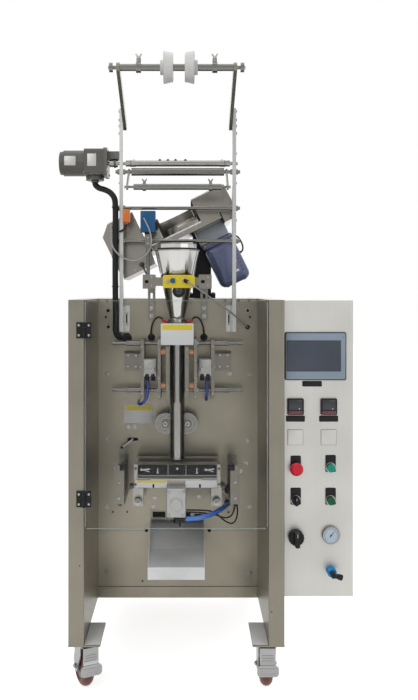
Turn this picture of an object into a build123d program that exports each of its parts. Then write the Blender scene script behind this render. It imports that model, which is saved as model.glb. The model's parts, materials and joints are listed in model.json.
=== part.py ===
"""Tablet packaging machine: an upright form-fill-seal machine with a tilted tablet feeder.

Millimetres, +Z up, +X to the right for someone who faces the machine, +Y to the back.
The origin lies on the floor under the middle of the machine's overall box. Most pieces are
drawn from the cabinet's own datum, whose x is 0 on the cabinet's centreline, whose depth is
0 on the front faces of its posts, and whose height is 0 on the floor. Units on the mounting
panel keep their distances from that panel and from the cabinet's top edge.
"""

from build123d import *
import math
import os

os.makedirs("parts", exist_ok=True)

# Clearances
touch = 0.3
running = 0.05
guard_gap = 5.0

# Cabinet
cabinet_width = 650.0
cabinet_depth = 820.0
cabinet_top = 1200.0
cabinet_bottom = 163.0
post_width = 48.0
sheet = 2.0
fold_radius = 4.0
bay_depth = 345.0
panel_sheet = 3.0
hem_height = 38.0
foot_plate_width = 96.0
foot_plate_length = 153.0
foot_plate_sheet = 5.0
outlet_width = 184.0
outlet_height = 75.0
outlet_x = -3.0
outlet_drop = 807.0
seam_width = 1.2
seam_sink = 1.0
panel_hole_diameter = 11.0
panel_hole_x = 242.0
upper_hole_drop = 41.5
lower_hole_drop = 98.5
outlet_hole_x = 109.0
drain_hole_diameter = 15.0
drain_hole_x = -200.0
drain_hole_drop = 712.0
lever_slot_x = -156.5
lever_slot_drop = 488.0
lever_slot_length = 38.0
lever_slot_height = 12.0

# Casters
wheel_diameter = 125.0
wheel_width = 38.0
wheel_crown = 18.0
web_outer_diameter = 88.0
web_inner_diameter = 44.0
web_sink = 6.0
caster_inset = 48.0
caster_setback = 64.0
caster_trail = 30.0
fork_sheet = 4.0
fork_gap = 4.0
fork_corner = 8.0
swivel_diameter = 56.0
swivel_height = 14.0
axle_diameter = 10.0
axle_boss_diameter = 34.0
pedal_width = 48.0
pedal_sheet = 2.5
pedal_reach = 41.0
pedal_swell = 8.0
pedal_length = 84.0
pedal_lip_width = 66.0
pedal_lip_height = 34.0
pedal_rib = 2.0
pedal_rib_width = 34.0
pedal_rib_count = 3
left_caster_turn = 25.0

# Control box
box_width = 215.0
box_setback = 40.0
box_depth = 300.0
box_drop = 2.0
box_height = 904.0
box_corner = 5.0

# Film frame above the cabinet
frame_post_x = 193.5
frame_post_width = 13.0
frame_post_depth = 30.0
frame_standoff = 33.0
frame_post_sink = 114.0
frame_post_rise = 654.0
frame_bracket_sheet = 3.0
frame_bracket_width = 20.0
frame_bracket_height = 90.0
cross_rod_diameter = 12.0
cross_rod_overhang = 14.0
upper_cross_rod_rise = 312.0
lower_cross_rod_rise = 199.0

# Reel arms, shaft and cones
reel_arm_thickness = 11.0
reel_arm_width = 30.0
reel_arm_foot_rise = 595.0
reel_rise = 720.0
reel_reach = 252.0
reel_shaft_diameter = 22.0
reel_shaft_overhang = 22.0
reel_end_gap = 1.0
reel_knob_diameter = 30.0
reel_knob_width = 12.0
cone_small_diameter = 88.0
cone_large_diameter = 100.0
cone_length = 28.0
cone_hub_diameter = 46.0
cone_hub_length = 12.0
cone_gap = 36.0
cone_x = 7.0
reel_collar_diameter = 34.0
reel_collar_width = 16.0
reel_collar_x = 118.0
reel_boss_diameter = 14.0
reel_boss_height = 12.0

# Rollers and dancer
driven_roller_diameter = 22.0
driven_roller_rise = 466.0
driven_hub_diameter = 24.0
driven_hub_width = 16.0
driven_hub_x = 152.0
idle_roller_diameter = 27.0
idle_roller_rise = 436.0
idle_roller_reach = 7.0
roller_journal = 12.0
roller_end_gap = 8.0
journal_overhang = 6.0
dancer_roller_diameter = 20.0
dancer_roller_drop = 63.0
dancer_roller_reach = 80.0
dancer_arm_thickness = 6.0
dancer_arm_width = 20.0
dancer_arm_x = 170.0
dancer_journal = 8.0
dancer_roller_end_gap = 18.0
dancer_collar_diameter = 27.0
dancer_collar_width = 12.0
dancer_collar_x = 110.0

# Film motor at the left end of the driven roller
motor_can_diameter = 88.0
motor_can_length = 86.0
motor_cap_diameter = 80.0
motor_cap_length = 14.0
gearhead_size = 90.0
gearhead_length = 66.0
gearhead_corner = 10.0
motor_flange_size = 96.0
motor_flange_sheet = 12.0
motor_face_gap = 40.0
motor_bracket_height = 26.0
motor_bracket_depth = 40.0
motor_terminal_diameter = 62.0
motor_terminal_height = 14.0
coupling_diameter = 26.0
coupling_length = 30.0

# Mark sensor on its clamp and rod
mark_sensor_x = -101.0
mark_sensor_width = 51.0
mark_sensor_height = 71.0
mark_sensor_length = 44.0
mark_sensor_rise = 227.0
mark_rod_length = 146.0
mark_rod_reach = 23.0
clamp_height = 40.0
clamp_width = 23.0

# Limit switch on the left post
limit_switch_width = 24.0
limit_switch_height = 45.0
limit_switch_depth = 22.0
limit_switch_rise = 260.0

# Forming tube and funnel
tube_x = -1.0
tube_standoff = 85.0
tube_diameter = 48.0
tube_wall = 1.5
tube_sink = 70.0
tube_collar_diameter = 60.0
tube_collar_height = 14.0
tube_bracket_width = 40.0
tube_bracket_height = 12.0
funnel_rise = 162.0
funnel_diameter = 150.0
funnel_neck_diameter = 132.0
funnel_collar_height = 22.0
funnel_step = 4.0

# Drop sensor in front of the funnel, and the brackets beside it
drop_sensor_x = 5.5
drop_sensor_width = 104.0
drop_sensor_height = 42.0
drop_sensor_length = 26.0
drop_sensor_inset = 5.0
drop_sensor_rise = 36.0
lens_diameter = 42.0
lens_length = 20.0
lens_drop = 10.0
drop_arm_height = 28.0
drop_arm_thickness = 12.0
drop_block_width = 42.0
drop_block_height = 46.0
slot_bar_width = 26.0
slot_bar_sheet = 4.0
slot_bar_x = 91.0
slot_bar_length = 144.0
bar_slot_length = 62.0
bar_slot_width = 8.0

# Vertical sealing unit
seal_rod_reach = 40.0
seal_rod_diameter = 12.0
upper_seal_rod_drop = 151.0
seal_rod_spacing = 159.0
seal_rod_half = 222.0
sleeve_diameter = 18.0
sleeve_length = 42.0
sleeve_x = 148.0
outer_plate_x = 118.5
outer_plate_thickness = 12.0
outer_plate_margin = 14.0
outer_plate_foot = 26.0
outer_plate_front = 35.0
foot_bracket_width = 60.0
foot_bracket_height = 68.0
foot_bracket_sheet = 8.0
foot_bracket_drop = 181.0
inner_plate_x = 59.5
inner_plate_thickness = 10.0
inner_plate_margin = 20.0
inner_plate_back = 22.0
seal_bar_gap = 25.0
seal_bar_thickness = 13.0
seal_bar_depth = 30.0
seal_bar_height = 195.0
seal_bar_margin = 39.0
seal_bar_corner = 2.0
fin_gap = 3.0
spacer_diameter = 16.0
spacer_margin = 24.0
cylinder_width = 41.0
cylinder_depth = 44.0
cylinder_height = 58.0
cylinder_rod_gap = 2.0
piston_diameter = 10.0
piston_length = 38.0

# Pull wheels
pull_wheel_diameter = 73.0
pull_wheel_thickness = 14.0
pull_wheel_spacing = 74.5
pull_wheel_drop = 424.0
pull_wheel_x = -4.5
pull_wheel_reach = 32.0
pull_hub_diameter = 26.0
pull_hub_length = 6.0
pull_shaft_diameter = 16.0
pull_shaft_tail = 20.0
pull_shaft_nose = 10.0

# Horizontal sealing unit
jaw_drop = 540.0
jaw_half = 131.0
jaw_bar_height = 37.0
jaw_body_height = 78.0
jaw_block_depth = 40.0
jaw_body_inset = 6.0
jaw_cheek_thickness = 10.0
jaw_plate_thickness = 4.0
jaw_plate_height = 24.0
jaw_plate_x = 34.0
jaw_stroke = 24.0
jaw_rod_x = 128.0
jaw_rod_sink = 120.0
jaw_rod_diameter = 16.0
jaw_rod_overhang = 8.0
jaw_rod_tail = 12.0
jaw_nut_diameter = 26.0
jaw_nut_length = 10.0
jaw_lug_width = 34.0
jaw_rail_web_x = 172.0
jaw_rail_width = 32.0
jaw_rail_sheet = 3.0
jaw_rail_reach = 60.0
jaw_rail_height = 132.0
jaw_stop_size = 18.0
knife_width = 63.0
knife_height = 93.0
knife_depth = 34.0
knife_sink = 71.0
knife_x = -3.0
knife_corner = 6.0
knife_face_diameter = 44.0
knife_face_length = 3.0
knife_boss_diameter = 22.0
knife_boss_length = 14.0
knife_fitting_length = 26.0
knife_fitting_width = 18.0
knife_fitting_height = 17.0

# Discharge chute
chute_drop = 60.0
chute_reach = 180.0
chute_tail = 60.0
chute_tail_rise = 28.0
chute_wall = 34.0
chute_sheet = 2.0
chute_bend_reach = 83.0
chute_bend_drop = 33.0
chute_lip = 36.0
chute_lip_reach = 4.0
chute_seat = 4.0

# Door
door_thickness = 5.0
door_side_gap = 2.0
door_height = 686.0
door_corner = 6.0
hinge_width = 45.0
hinge_height = 48.0
hinge_leaf = 5.0
hinge_knuckle = 12.0
hinge_pin = 5.0
upper_hinge_drop = 91.0
lower_hinge_drop = 597.0

# Tablet feeder
feeder_tilt = 26.0
feeder_x = 0.0
feeder_rise = 200.0
feeder_depth = 520.0
feeder_plate_low = -100.0
feeder_plate_high = 180.0
feeder_plate_width = 260.0
feeder_plate_thickness = 22.0
feeder_plate_seat = 9.0
feeder_plate_corner = 10.0
disc_x = 45.0
disc_diameter = 226.0
disc_thickness = 8.0
disc_gap = 5.0
disc_rim = 6.0
disc_pocket_diameter = 13.0
disc_pocket_count = 24
disc_pocket_inset = 14.0
spindle_cap_diameter = 40.0
spindle_cap_height = 12.0
bowl_height = 78.0
bowl_wall = 2.0
bowl_gap = 5.0
bowl_window = 150.0
bowl_window_sill = 26.0
hopper_wall = 2.0
hopper_low = -233.0
hopper_sink = 34.0
hopper_height = 200.0
hopper_toe = -105.0
hopper_lip = 36.0
hood_low = 105.0
hood_high = 235.0
hood_top = 115.0
hood_chamfer = 65.0
hood_sink = 10.0
hood_toe = 24.0
hood_gap = 2.0
gearbox_low = 72.0
gearbox_high = 180.0
gearbox_height = 56.0
gearbox_width = 130.0
gearbox_corner = 8.0
feeder_motor_x = 131.0
feeder_motor_width = 116.0
feeder_motor_length = 176.0
feeder_motor_corner = 20.0
feeder_motor_rib = 3.0
feeder_motor_rib_count = 5
feeder_motor_nose = 14.0
column_width = 70.0
column_depth = 60.0
column_x = 88.0
column_foot_margin = 16.0
column_foot_height = 18.0

# Switches on the control box, measured from the box's left and top edges
left_switch_inset = 39.0
right_switch_inset = 145.5
stop_drop = 512.0
start_drop = 510.0
selector_drop = 610.0
main_switch_drop = 721.0
gauge_drop = 715.0
valve_drop = 823.0
stop_diameter = 40.0
stop_height = 16.0
stop_crown = 5.0
button_diameter = 24.0
button_height = 6.0
selector_diameter = 26.0
selector_height = 7.0
selector_bar_width = 8.0
selector_bar_height = 9.0
main_switch_diameter = 46.0
main_switch_height = 12.0
handle_width = 15.0
handle_length = 44.0
handle_height = 22.0
switch_collar_diameter = 31.0
switch_collar = 4.0
legend_width = 32.0
legend_height = 52.0
legend_sheet = 1.5
legend_lift = 12.0
push_travel = 3.0
stem_diameter = 16.0
stem_length = 20.0
gauge_diameter = 55.0
gauge_depth = 12.0
gauge_rim = 4.0
gauge_sink = 2.5
valve_diameter = 27.0
valve_length = 28.0
valve_neck_diameter = 19.0
valve_neck_length = 6.0
elbow_diameter = 16.0
elbow_length = 16.0
elbow_reach = 26.0
elbow_droop = 17.0

# Screen, controllers and covers on the control box
screen_inset = 99.0
screen_drop = 170.0
screen_width = 188.0
screen_height = 147.0
screen_depth = 8.0
screen_corner = 6.0
glass_width = 160.0
glass_height = 89.0
glass_sink = 1.0
controller_size = 50.0
controller_depth = 9.0
controller_drop = 324.0
controller_left_inset = 38.0
controller_right_inset = 139.5
controller_rim = 4.0
cover_size = 46.0
cover_sheet = 2.0
cover_drop = 418.0

# Leads and tubes
loom_diameter = 20.0
lead_diameter = 6.0
sensor_lead_diameter = 5.0
air_tube_diameter = 10.0
jaw_tube_diameter = 16.0
jaw_lead_diameter = 5.0
jaw_tube_hole_x = 172.0
jaw_lead_hole_x = 200.0
jaw_hole_drop = 168.0
jaw_hole_diameter = 24.0
jaw_lead_spacing = 6.0

# Overall box, and from it the place of the cabinet's datum
cabinet_half = cabinet_width / 2
bay_half = cabinet_half - post_width
post_inner = frame_post_x - frame_post_width / 2
post_outer = frame_post_x + frame_post_width / 2
motor_face_x = -post_outer - motor_face_gap
gearhead_far = motor_face_x - motor_flange_sheet - gearhead_length
motor_reach = -gearhead_far + motor_can_length
right_reach = cabinet_half + box_width
front_reach = hinge_knuckle + touch
rear_reach = cabinet_depth - caster_setback + caster_trail + wheel_diameter / 2
cabinet_x = (motor_reach - right_reach) / 2
front_y = (front_reach - rear_reach) / 2

floor = Plane(origin=(cabinet_x, front_y, 0))
front = Plane(origin=(cabinet_x, front_y, 0), x_dir=(1, 0, 0), z_dir=(0, -1, 0))
side = Plane(origin=(cabinet_x, front_y, 0), x_dir=(0, 1, 0), z_dir=(1, 0, 0))

# Places that more than one piece shares
tube_depth = bay_depth - tube_standoff
jaw_top = cabinet_top - jaw_drop
tube_bottom = jaw_top + guard_gap
tube_top = cabinet_top - tube_sink
outlet_bottom = cabinet_top - outlet_drop
box_top = cabinet_top - box_drop
box_bottom = box_top - box_height
left_switch_x = cabinet_half + left_switch_inset
right_switch_x = cabinet_half + right_switch_inset
rod_depth = bay_depth - frame_standoff + frame_post_depth / 2
post_front = bay_depth - frame_standoff
upper_cross_rod_z = cabinet_top + upper_cross_rod_rise
lower_cross_rod_z = cabinet_top + lower_cross_rod_rise
driven_roller_z = cabinet_top + driven_roller_rise
idle_roller_z = cabinet_top + idle_roller_rise
idle_roller_depth = rod_depth - idle_roller_reach
dancer_roller_z = idle_roller_z - dancer_roller_drop
dancer_roller_depth = idle_roller_depth - dancer_roller_reach
reel_z = cabinet_top + reel_rise
reel_depth = rod_depth - reel_reach
seal_rod_depth = tube_depth + seal_rod_reach
upper_seal_rod_z = cabinet_top - upper_seal_rod_drop
lower_seal_rod_z = upper_seal_rod_z - seal_rod_spacing
seal_rod_heights = (upper_seal_rod_z, lower_seal_rod_z)
pull_wheel_z = cabinet_top - pull_wheel_drop
pull_wheel_depth = tube_depth + pull_wheel_reach
pull_wheel_places = [pull_wheel_x - pull_wheel_spacing / 2, pull_wheel_x + pull_wheel_spacing / 2]
jaw_rod_z = jaw_top - jaw_rod_sink
jaw_hole_z = jaw_top - jaw_hole_drop
jaw_face_gap = jaw_stroke + touch


def at_height(z):
    """The level plane at a height: its x runs right, its y to the back, its normal up."""
    return floor.offset(z)


def at_depth(depth):
    """The upright plane at a depth: its x runs right, its y up, its normal to the front."""
    return front.offset(-depth)


def at_side(x):
    """The upright plane at a distance right of the centreline: its x runs to the back, its y up."""
    return side.offset(x)


def slab(plane, low, high, thickness, mode=Mode.ADD, corner=0.0):
    """Adds the rectangle between two corners of a plane, extruded along the plane's normal."""
    with BuildSketch(plane) as outline:
        with Locations(((low[0] + high[0]) / 2, (low[1] + high[1]) / 2)):
            if corner:
                RectangleRounded(abs(high[0] - low[0]), abs(high[1] - low[1]), corner)
            else:
                Rectangle(abs(high[0] - low[0]), abs(high[1] - low[1]))
    extrude(outline.sketch, amount=thickness, mode=mode)


def plate(plane, centre, width, height, thickness, mode=Mode.ADD, corner=0.0):
    """Adds the rectangle about a centre in a plane, extruded along the plane's normal."""
    low = (centre[0] - width / 2, centre[1] - height / 2)
    high = (centre[0] + width / 2, centre[1] + height / 2)
    slab(plane, low, high, thickness, mode=mode, corner=corner)


def round_bar(plane, centres, diameter, length, bore=0.0, mode=Mode.ADD):
    """Adds a bar or ring at each centre in a plane, extruded along the plane's normal."""
    with BuildSketch(plane) as outline:
        with Locations(*centres):
            Circle(diameter / 2)
            if bore:
                Circle(bore / 2, mode=Mode.SUBTRACT)
    extrude(outline.sketch, amount=length, mode=mode)


def slot_cut(plane, centre, length, width, depth, upright=True):
    """Cuts a slot about a centre in a plane, along the plane's normal."""
    with BuildSketch(plane) as outline:
        with Locations(Location((centre[0], centre[1]), 90 if upright else 0)):
            SlotOverall(length, width)
    extrude(outline.sketch, amount=depth, mode=Mode.SUBTRACT)


def strip(plane, points, thickness, width, flip=False, radius=fold_radius):
    """Adds a folded sheet: its bent section lies in the plane and is extruded by the width."""
    with BuildSketch(plane) as outline:
        with BuildLine():
            FilletPolyline(*points, radius=radius)
            offset(amount=thickness, side=Side.LEFT if flip else Side.RIGHT)
        make_face()
    extrude(outline.sketch, amount=width)


def outline_prism(plane, points, thickness, mode=Mode.ADD):
    """Adds a closed straight-sided outline of a plane, extruded along the plane's normal."""
    with BuildSketch(plane) as outline:
        with BuildLine():
            Polyline(*points, close=True)
        make_face()
    extrude(outline.sketch, amount=thickness, mode=mode)


def turned(axis_plane, points):
    """Adds a turned piece: points are (distance along the plane's normal, radius)."""
    section = Plane(origin=axis_plane.origin, x_dir=axis_plane.z_dir, z_dir=axis_plane.y_dir)
    with BuildSketch(section) as profile:
        with BuildLine():
            Polyline(*points, close=True)
        make_face()
    revolve(profile.sketch, axis=Axis(axis_plane.origin, axis_plane.z_dir))


# Cabinet side walls: boxed sheet columns beside the working bay, on welded foot plates
with BuildPart() as left_side_panel:
    strip(
        at_height(cabinet_bottom),
        [(-bay_half, bay_depth), (-bay_half, 0), (-cabinet_half, 0), (-cabinet_half, cabinet_depth)],
        sheet,
        cabinet_top - cabinet_bottom,
        flip=True,
    )
    slab(
        at_height(cabinet_top - sheet),
        (-cabinet_half + sheet / 2, sheet / 2),
        (-bay_half - sheet / 2, bay_depth),
        sheet,
    )
    for low in (0, cabinet_depth - foot_plate_length):
        slab(
            at_height(cabinet_bottom - foot_plate_sheet),
            (-cabinet_half, low),
            (-cabinet_half + foot_plate_width, low + foot_plate_length),
            foot_plate_sheet,
        )

with BuildPart() as right_side_panel:
    mirror(left_side_panel.part, about=side)

# Mounting panel: the recessed front sheet that carries the working units
outlet_hole_z = outlet_bottom + sheet
panel_holes = [
    (hand * panel_hole_x, cabinet_top - drop)
    for hand in (-1, 1)
    for drop in (upper_hole_drop, lower_hole_drop)
]
panel_holes += [(-outlet_hole_x, outlet_hole_z), (outlet_hole_x, outlet_hole_z)]
with BuildPart() as mounting_panel:
    panel_back = at_depth(bay_depth + panel_sheet)
    slab(panel_back, (-bay_half, cabinet_bottom), (bay_half, cabinet_top), panel_sheet)
    slab(
        at_depth(bay_depth),
        (-bay_half, cabinet_bottom),
        (bay_half, cabinet_bottom + hem_height),
        sheet,
    )
    slab(
        at_depth(bay_depth + seam_sink),
        (-bay_half, outlet_bottom + sheet - seam_width / 2),
        (bay_half, outlet_bottom + sheet + seam_width / 2),
        seam_sink,
        mode=Mode.SUBTRACT,
    )
    slab(
        panel_back,
        (outlet_x - outlet_width / 2, outlet_bottom - chute_sheet),
        (outlet_x + outlet_width / 2, outlet_bottom + outlet_height),
        panel_sheet,
        mode=Mode.SUBTRACT,
    )
    round_bar(panel_back, panel_holes, panel_hole_diameter, panel_sheet, mode=Mode.SUBTRACT)
    round_bar(
        panel_back,
        [(drain_hole_x, cabinet_top - drain_hole_drop)],
        drain_hole_diameter,
        panel_sheet,
        mode=Mode.SUBTRACT,
    )
    slot_cut(
        panel_back,
        (lever_slot_x, cabinet_top - lever_slot_drop),
        lever_slot_length,
        lever_slot_height,
        panel_sheet,
        upright=False,
    )
    round_bar(
        panel_back,
        [(x, pull_wheel_z) for x in pull_wheel_places],
        pull_shaft_diameter + 2 * running,
        panel_sheet,
        mode=Mode.SUBTRACT,
    )
    round_bar(
        panel_back,
        [(-jaw_rod_x, jaw_rod_z), (jaw_rod_x, jaw_rod_z)],
        jaw_rod_diameter,
        panel_sheet,
        mode=Mode.SUBTRACT,
    )
    round_bar(
        panel_back,
        [(jaw_tube_hole_x, jaw_hole_z), (jaw_lead_hole_x, jaw_hole_z)],
        jaw_hole_diameter,
        panel_sheet,
        mode=Mode.SUBTRACT,
    )

# Rear cover: top, back and bottom of the closed machine space, folded from one sheet
with BuildPart() as rear_cover:
    strip(
        at_side(-cabinet_half + sheet),
        [
            (bay_depth + panel_sheet, cabinet_top),
            (cabinet_depth, cabinet_top),
            (cabinet_depth, cabinet_bottom),
            (bay_depth + panel_sheet, cabinet_bottom),
        ],
        sheet,
        cabinet_width - 2 * sheet,
    )

# Control box beside the cabinet, with a bore behind each switch
left_switches = [
    (left_switch_x, box_top - stop_drop),
    (left_switch_x, box_top - selector_drop),
    (left_switch_x, box_top - main_switch_drop),
]
right_switches = [
    (right_switch_x, box_top - start_drop),
    (right_switch_x, box_top - selector_drop),
]
stop_place, selector_place, main_switch_place = left_switches
start_place, reset_place = right_switches
stem_room = stem_length + push_travel + touch
with BuildPart() as control_box:
    slab(
        at_depth(box_setback + box_depth),
        (cabinet_half, box_bottom),
        (cabinet_half + box_width, box_top),
        box_depth,
    )
    fillet(control_box.edges().filter_by(Axis.Z), box_corner)
    round_bar(
        at_depth(box_setback + stem_room),
        left_switches + right_switches,
        stem_diameter + 2 * running,
        stem_room,
        mode=Mode.SUBTRACT,
    )

# Screen, controllers, blank covers, legend plates, collars and gauge on the box's face
box_face = at_depth(box_setback)
screen_place = (cabinet_half + screen_inset, box_top - screen_drop)
gauge_place = (right_switch_x, box_top - gauge_drop)
with BuildPart() as panel_fittings:
    plate(box_face, screen_place, screen_width, screen_height, screen_depth, corner=screen_corner)
    chamfer(panel_fittings.faces().sort_by(Axis.Y)[0].edges(), screen_depth / 4)
    plate(
        at_depth(box_setback - screen_depth + glass_sink),
        screen_place,
        glass_width,
        glass_height,
        glass_sink,
        mode=Mode.SUBTRACT,
    )
    for inset in (controller_left_inset, controller_right_inset):
        centre = (cabinet_half + inset, box_top - controller_drop)
        plate(box_face, centre, controller_size, controller_size, controller_depth, corner=2 * sheet)
        plate(
            at_depth(box_setback - controller_depth + glass_sink),
            centre,
            controller_size - 2 * controller_rim,
            controller_size - 2 * controller_rim,
            glass_sink,
            mode=Mode.SUBTRACT,
        )
        cover = (cabinet_half + inset, box_top - cover_drop)
        plate(box_face, cover, cover_size, cover_size, cover_sheet, corner=cover_sheet)
    for centre in (stop_place, selector_place, start_place, reset_place):
        legend = (centre[0], centre[1] + legend_lift)
        plate(box_face, legend, legend_width, legend_height, legend_sheet, corner=legend_width / 8)
    for centre in left_switches + right_switches:
        round_bar(box_face, [centre], switch_collar_diameter, switch_collar)
    round_bar(
        box_face,
        left_switches + right_switches,
        stem_diameter + 2 * running,
        switch_collar,
        mode=Mode.SUBTRACT,
    )
    round_bar(box_face, [gauge_place], gauge_diameter, gauge_depth)
    round_bar(
        at_depth(box_setback - gauge_depth + gauge_sink),
        [gauge_place],
        gauge_diameter - 2 * gauge_rim,
        gauge_sink,
        mode=Mode.SUBTRACT,
    )

# Push buttons and turning switches: a shaped head on a stem that runs in the box's bore
head_seat = box_setback - switch_collar - guard_gap


def switch_stem(centre):
    """Adds the stem from the back of a head into the box's bore."""
    reach = stem_length + box_setback - head_seat
    round_bar(at_depth(box_setback + stem_length), [centre], stem_diameter, reach)


with BuildPart() as stop_button:
    switch_stem(stop_place)
    stop_axis = at_depth(head_seat)
    stop_plane = Plane(
        origin=stop_axis.from_local_coords((stop_place[0], stop_place[1], 0)),
        x_dir=stop_axis.x_dir,
        z_dir=stop_axis.z_dir,
    )
    turned(
        stop_plane,
        [
            (0, 0),
            (0, stem_diameter / 2 + stop_crown),
            (stop_height - 2 * stop_crown, stop_diameter / 2),
            (stop_height - stop_crown, stop_diameter / 2),
            (stop_height, stop_diameter / 2 - stop_crown),
            (stop_height, 0),
        ],
    )

with BuildPart() as start_button:
    switch_stem(start_place)
    round_bar(at_depth(head_seat), [start_place], button_diameter, button_height)
    fillet(start_button.edges().sort_by(Axis.Y)[0], touch)

with BuildPart() as reset_button:
    switch_stem(reset_place)
    round_bar(at_depth(head_seat), [reset_place], button_diameter, button_height)
    fillet(reset_button.edges().sort_by(Axis.Y)[0], touch)

with BuildPart() as selector_knob:
    switch_stem(selector_place)
    round_bar(at_depth(head_seat), [selector_place], selector_diameter, selector_height)
    plate(
        at_depth(head_seat - selector_height),
        selector_place,
        selector_bar_width,
        selector_diameter - sheet,
        selector_bar_height,
        corner=selector_bar_width / 3,
    )

with BuildPart() as main_switch:
    switch_stem(main_switch_place)
    round_bar(at_depth(head_seat), [main_switch_place], main_switch_diameter, main_switch_height)
    chamfer(main_switch.edges().sort_by(Axis.Y)[0], sheet)
    plate(
        at_depth(head_seat - main_switch_height),
        main_switch_place,
        handle_width,
        handle_length,
        handle_height,
        corner=handle_width / 3,
    )

# Air shut-off valve under the gauge: blue body, neck and a swivel elbow
valve_place = (right_switch_x, box_top - valve_drop)
neck_depth = box_setback - valve_length
elbow_depth = neck_depth - valve_neck_length
with BuildPart() as air_valve:
    round_bar(box_face, [valve_place], valve_diameter, valve_length)
    chamfer(air_valve.edges().sort_by(Axis.Y)[0], sheet)
    round_bar(at_depth(neck_depth), [valve_place], valve_neck_diameter, valve_neck_length)
    round_bar(at_depth(elbow_depth), [valve_place], elbow_diameter, elbow_length)
    elbow_centre = at_depth(elbow_depth - elbow_length / 2).from_local_coords(
        (valve_place[0], valve_place[1], 0)
    )
    droop = math.radians(elbow_droop)
    branch_dir = (math.cos(droop), 0, -math.sin(droop))
    branch = Plane(origin=elbow_centre, x_dir=(0, 1, 0), z_dir=branch_dir)
    round_bar(branch, [(0, 0)], elbow_diameter - sheet, elbow_reach)
    round_bar(branch.offset(elbow_reach - elbow_length / 2), [(0, 0)], elbow_diameter, elbow_length / 2)

# Casters: a swivelling fork with a brake pedal in front, and a crowned wheel on its axle
caster_x = cabinet_half - caster_inset
fork_top = cabinet_bottom - foot_plate_sheet
crown_z = fork_top - swivel_height
wheel_z = wheel_diameter / 2


def caster_frame(x, depth, turn):
    """The plane through a caster's swivel axis at the floor: its x runs forward from the axis."""
    swivel = floor.from_local_coords((x, depth, 0))
    return Plane(origin=swivel, x_dir=(0, -1, 0), z_dir=(0, 0, 1)).rotated((0, 0, turn))


def add_fork(frame):
    """Adds the swivel ring, crown, cheeks, axle and brake pedal of one caster."""
    half = wheel_width / 2 + fork_gap
    across = Plane(origin=frame.origin, x_dir=frame.x_dir, z_dir=-frame.y_dir)
    round_bar(frame.offset(crown_z), [(0, 0)], swivel_diameter, swivel_height - touch)
    crown_back = -caster_trail - swivel_diameter / 2 + fork_corner
    slab(
        frame.offset(crown_z - fork_sheet),
        (crown_back, -half - fork_sheet),
        (swivel_diameter / 2 + fork_sheet, half + fork_sheet),
        fork_sheet,
        corner=fork_corner,
    )
    for low in (-half - fork_sheet, half):
        with BuildSketch(across.offset(low)) as cheek:
            with BuildLine():
                Polyline(
                    (swivel_diameter / 2 - fork_corner, crown_z),
                    (crown_back + fork_corner, crown_z),
                    (-caster_trail - axle_boss_diameter / 2, wheel_z),
                    (-caster_trail + axle_boss_diameter / 2, wheel_z),
                    (swivel_diameter / 2 - fork_corner, crown_z - swivel_diameter / 2),
                    close=True,
                )
            make_face()
            with Locations((-caster_trail, wheel_z)):
                Circle(axle_boss_diameter / 2)
        extrude(cheek.sketch, amount=fork_sheet)
    axle_half = half + 2 * fork_sheet
    round_bar(across.offset(-axle_half), [(-caster_trail, wheel_z)], axle_diameter, 2 * axle_half)
    pedal_bottom = crown_z - pedal_length
    pedal_middle = crown_z - pedal_length / 2
    strip(
        across.offset(-pedal_width / 2),
        [
            (swivel_diameter / 4, crown_z),
            (pedal_reach, crown_z),
            (pedal_reach, pedal_middle),
            (pedal_reach + pedal_swell, pedal_middle - 2 * pedal_swell),
            (pedal_reach + pedal_swell, pedal_bottom),
        ],
        pedal_sheet,
        pedal_width,
    )
    facing = Plane(origin=frame.origin, x_dir=frame.y_dir, z_dir=frame.x_dir)
    lip = (0, pedal_bottom + pedal_lip_height / 2)
    plate(
        facing.offset(pedal_reach + pedal_swell - pedal_sheet),
        lip,
        pedal_lip_width,
        pedal_lip_height,
        pedal_sheet,
        corner=pedal_lip_height / 3,
    )
    for step in range(pedal_rib_count):
        rib = (0, crown_z - 3 * fork_corner - step * pedal_swell)
        plate(facing.offset(pedal_reach - touch), rib, pedal_rib_width, pedal_rib, pedal_rib)


def add_wheel(frame):
    """Adds one crowned wheel with a recessed web and its bore."""
    across = Plane(origin=frame.origin, x_dir=frame.x_dir, z_dir=-frame.y_dir)
    axle = across.from_local_coords((-caster_trail, wheel_z, 0))
    section = Plane(origin=axle, x_dir=frame.x_dir, z_dir=frame.z_dir)
    tread = wheel_diameter / 2 - wheel_crown
    half = wheel_width / 2
    web_outer = web_outer_diameter / 2
    web_inner = web_inner_diameter / 2
    bore = axle_diameter / 2 + running
    with BuildSketch(section) as profile:
        with BuildLine():
            Polyline(
                (tread, half),
                (web_outer, half),
                (web_outer - web_sink, half - web_sink),
                (web_inner, half - web_sink),
                (web_inner - web_sink, half),
                (bore, half),
                (bore, -half),
                (web_inner - web_sink, -half),
                (web_inner, -half + web_sink),
                (web_outer - web_sink, -half + web_sink),
                (web_outer, -half),
                (tread, -half),
            )
            ThreePointArc((tread, -half), (wheel_diameter / 2, 0), (tread, half))
        make_face()
    revolve(profile.sketch, axis=Axis(axle, frame.y_dir))


left_caster_frame = caster_frame(-caster_x, caster_setback, left_caster_turn)
right_caster_frame = caster_frame(caster_x, caster_setback, 0)
rear_caster_frames = [
    caster_frame(hand * caster_x, cabinet_depth - caster_setback, 0) for hand in (-1, 1)
]

with BuildPart() as left_caster_fork:
    add_fork(left_caster_frame)

with BuildPart() as left_caster_wheel:
    add_wheel(left_caster_frame)

with BuildPart() as right_caster_fork:
    add_fork(right_caster_frame)

with BuildPart() as right_caster_wheel:
    add_wheel(right_caster_frame)

with BuildPart() as rear_caster_forks:
    for frame in rear_caster_frames:
        add_fork(frame)

with BuildPart() as rear_caster_wheels:
    for frame in rear_caster_frames:
        add_wheel(frame)

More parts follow.
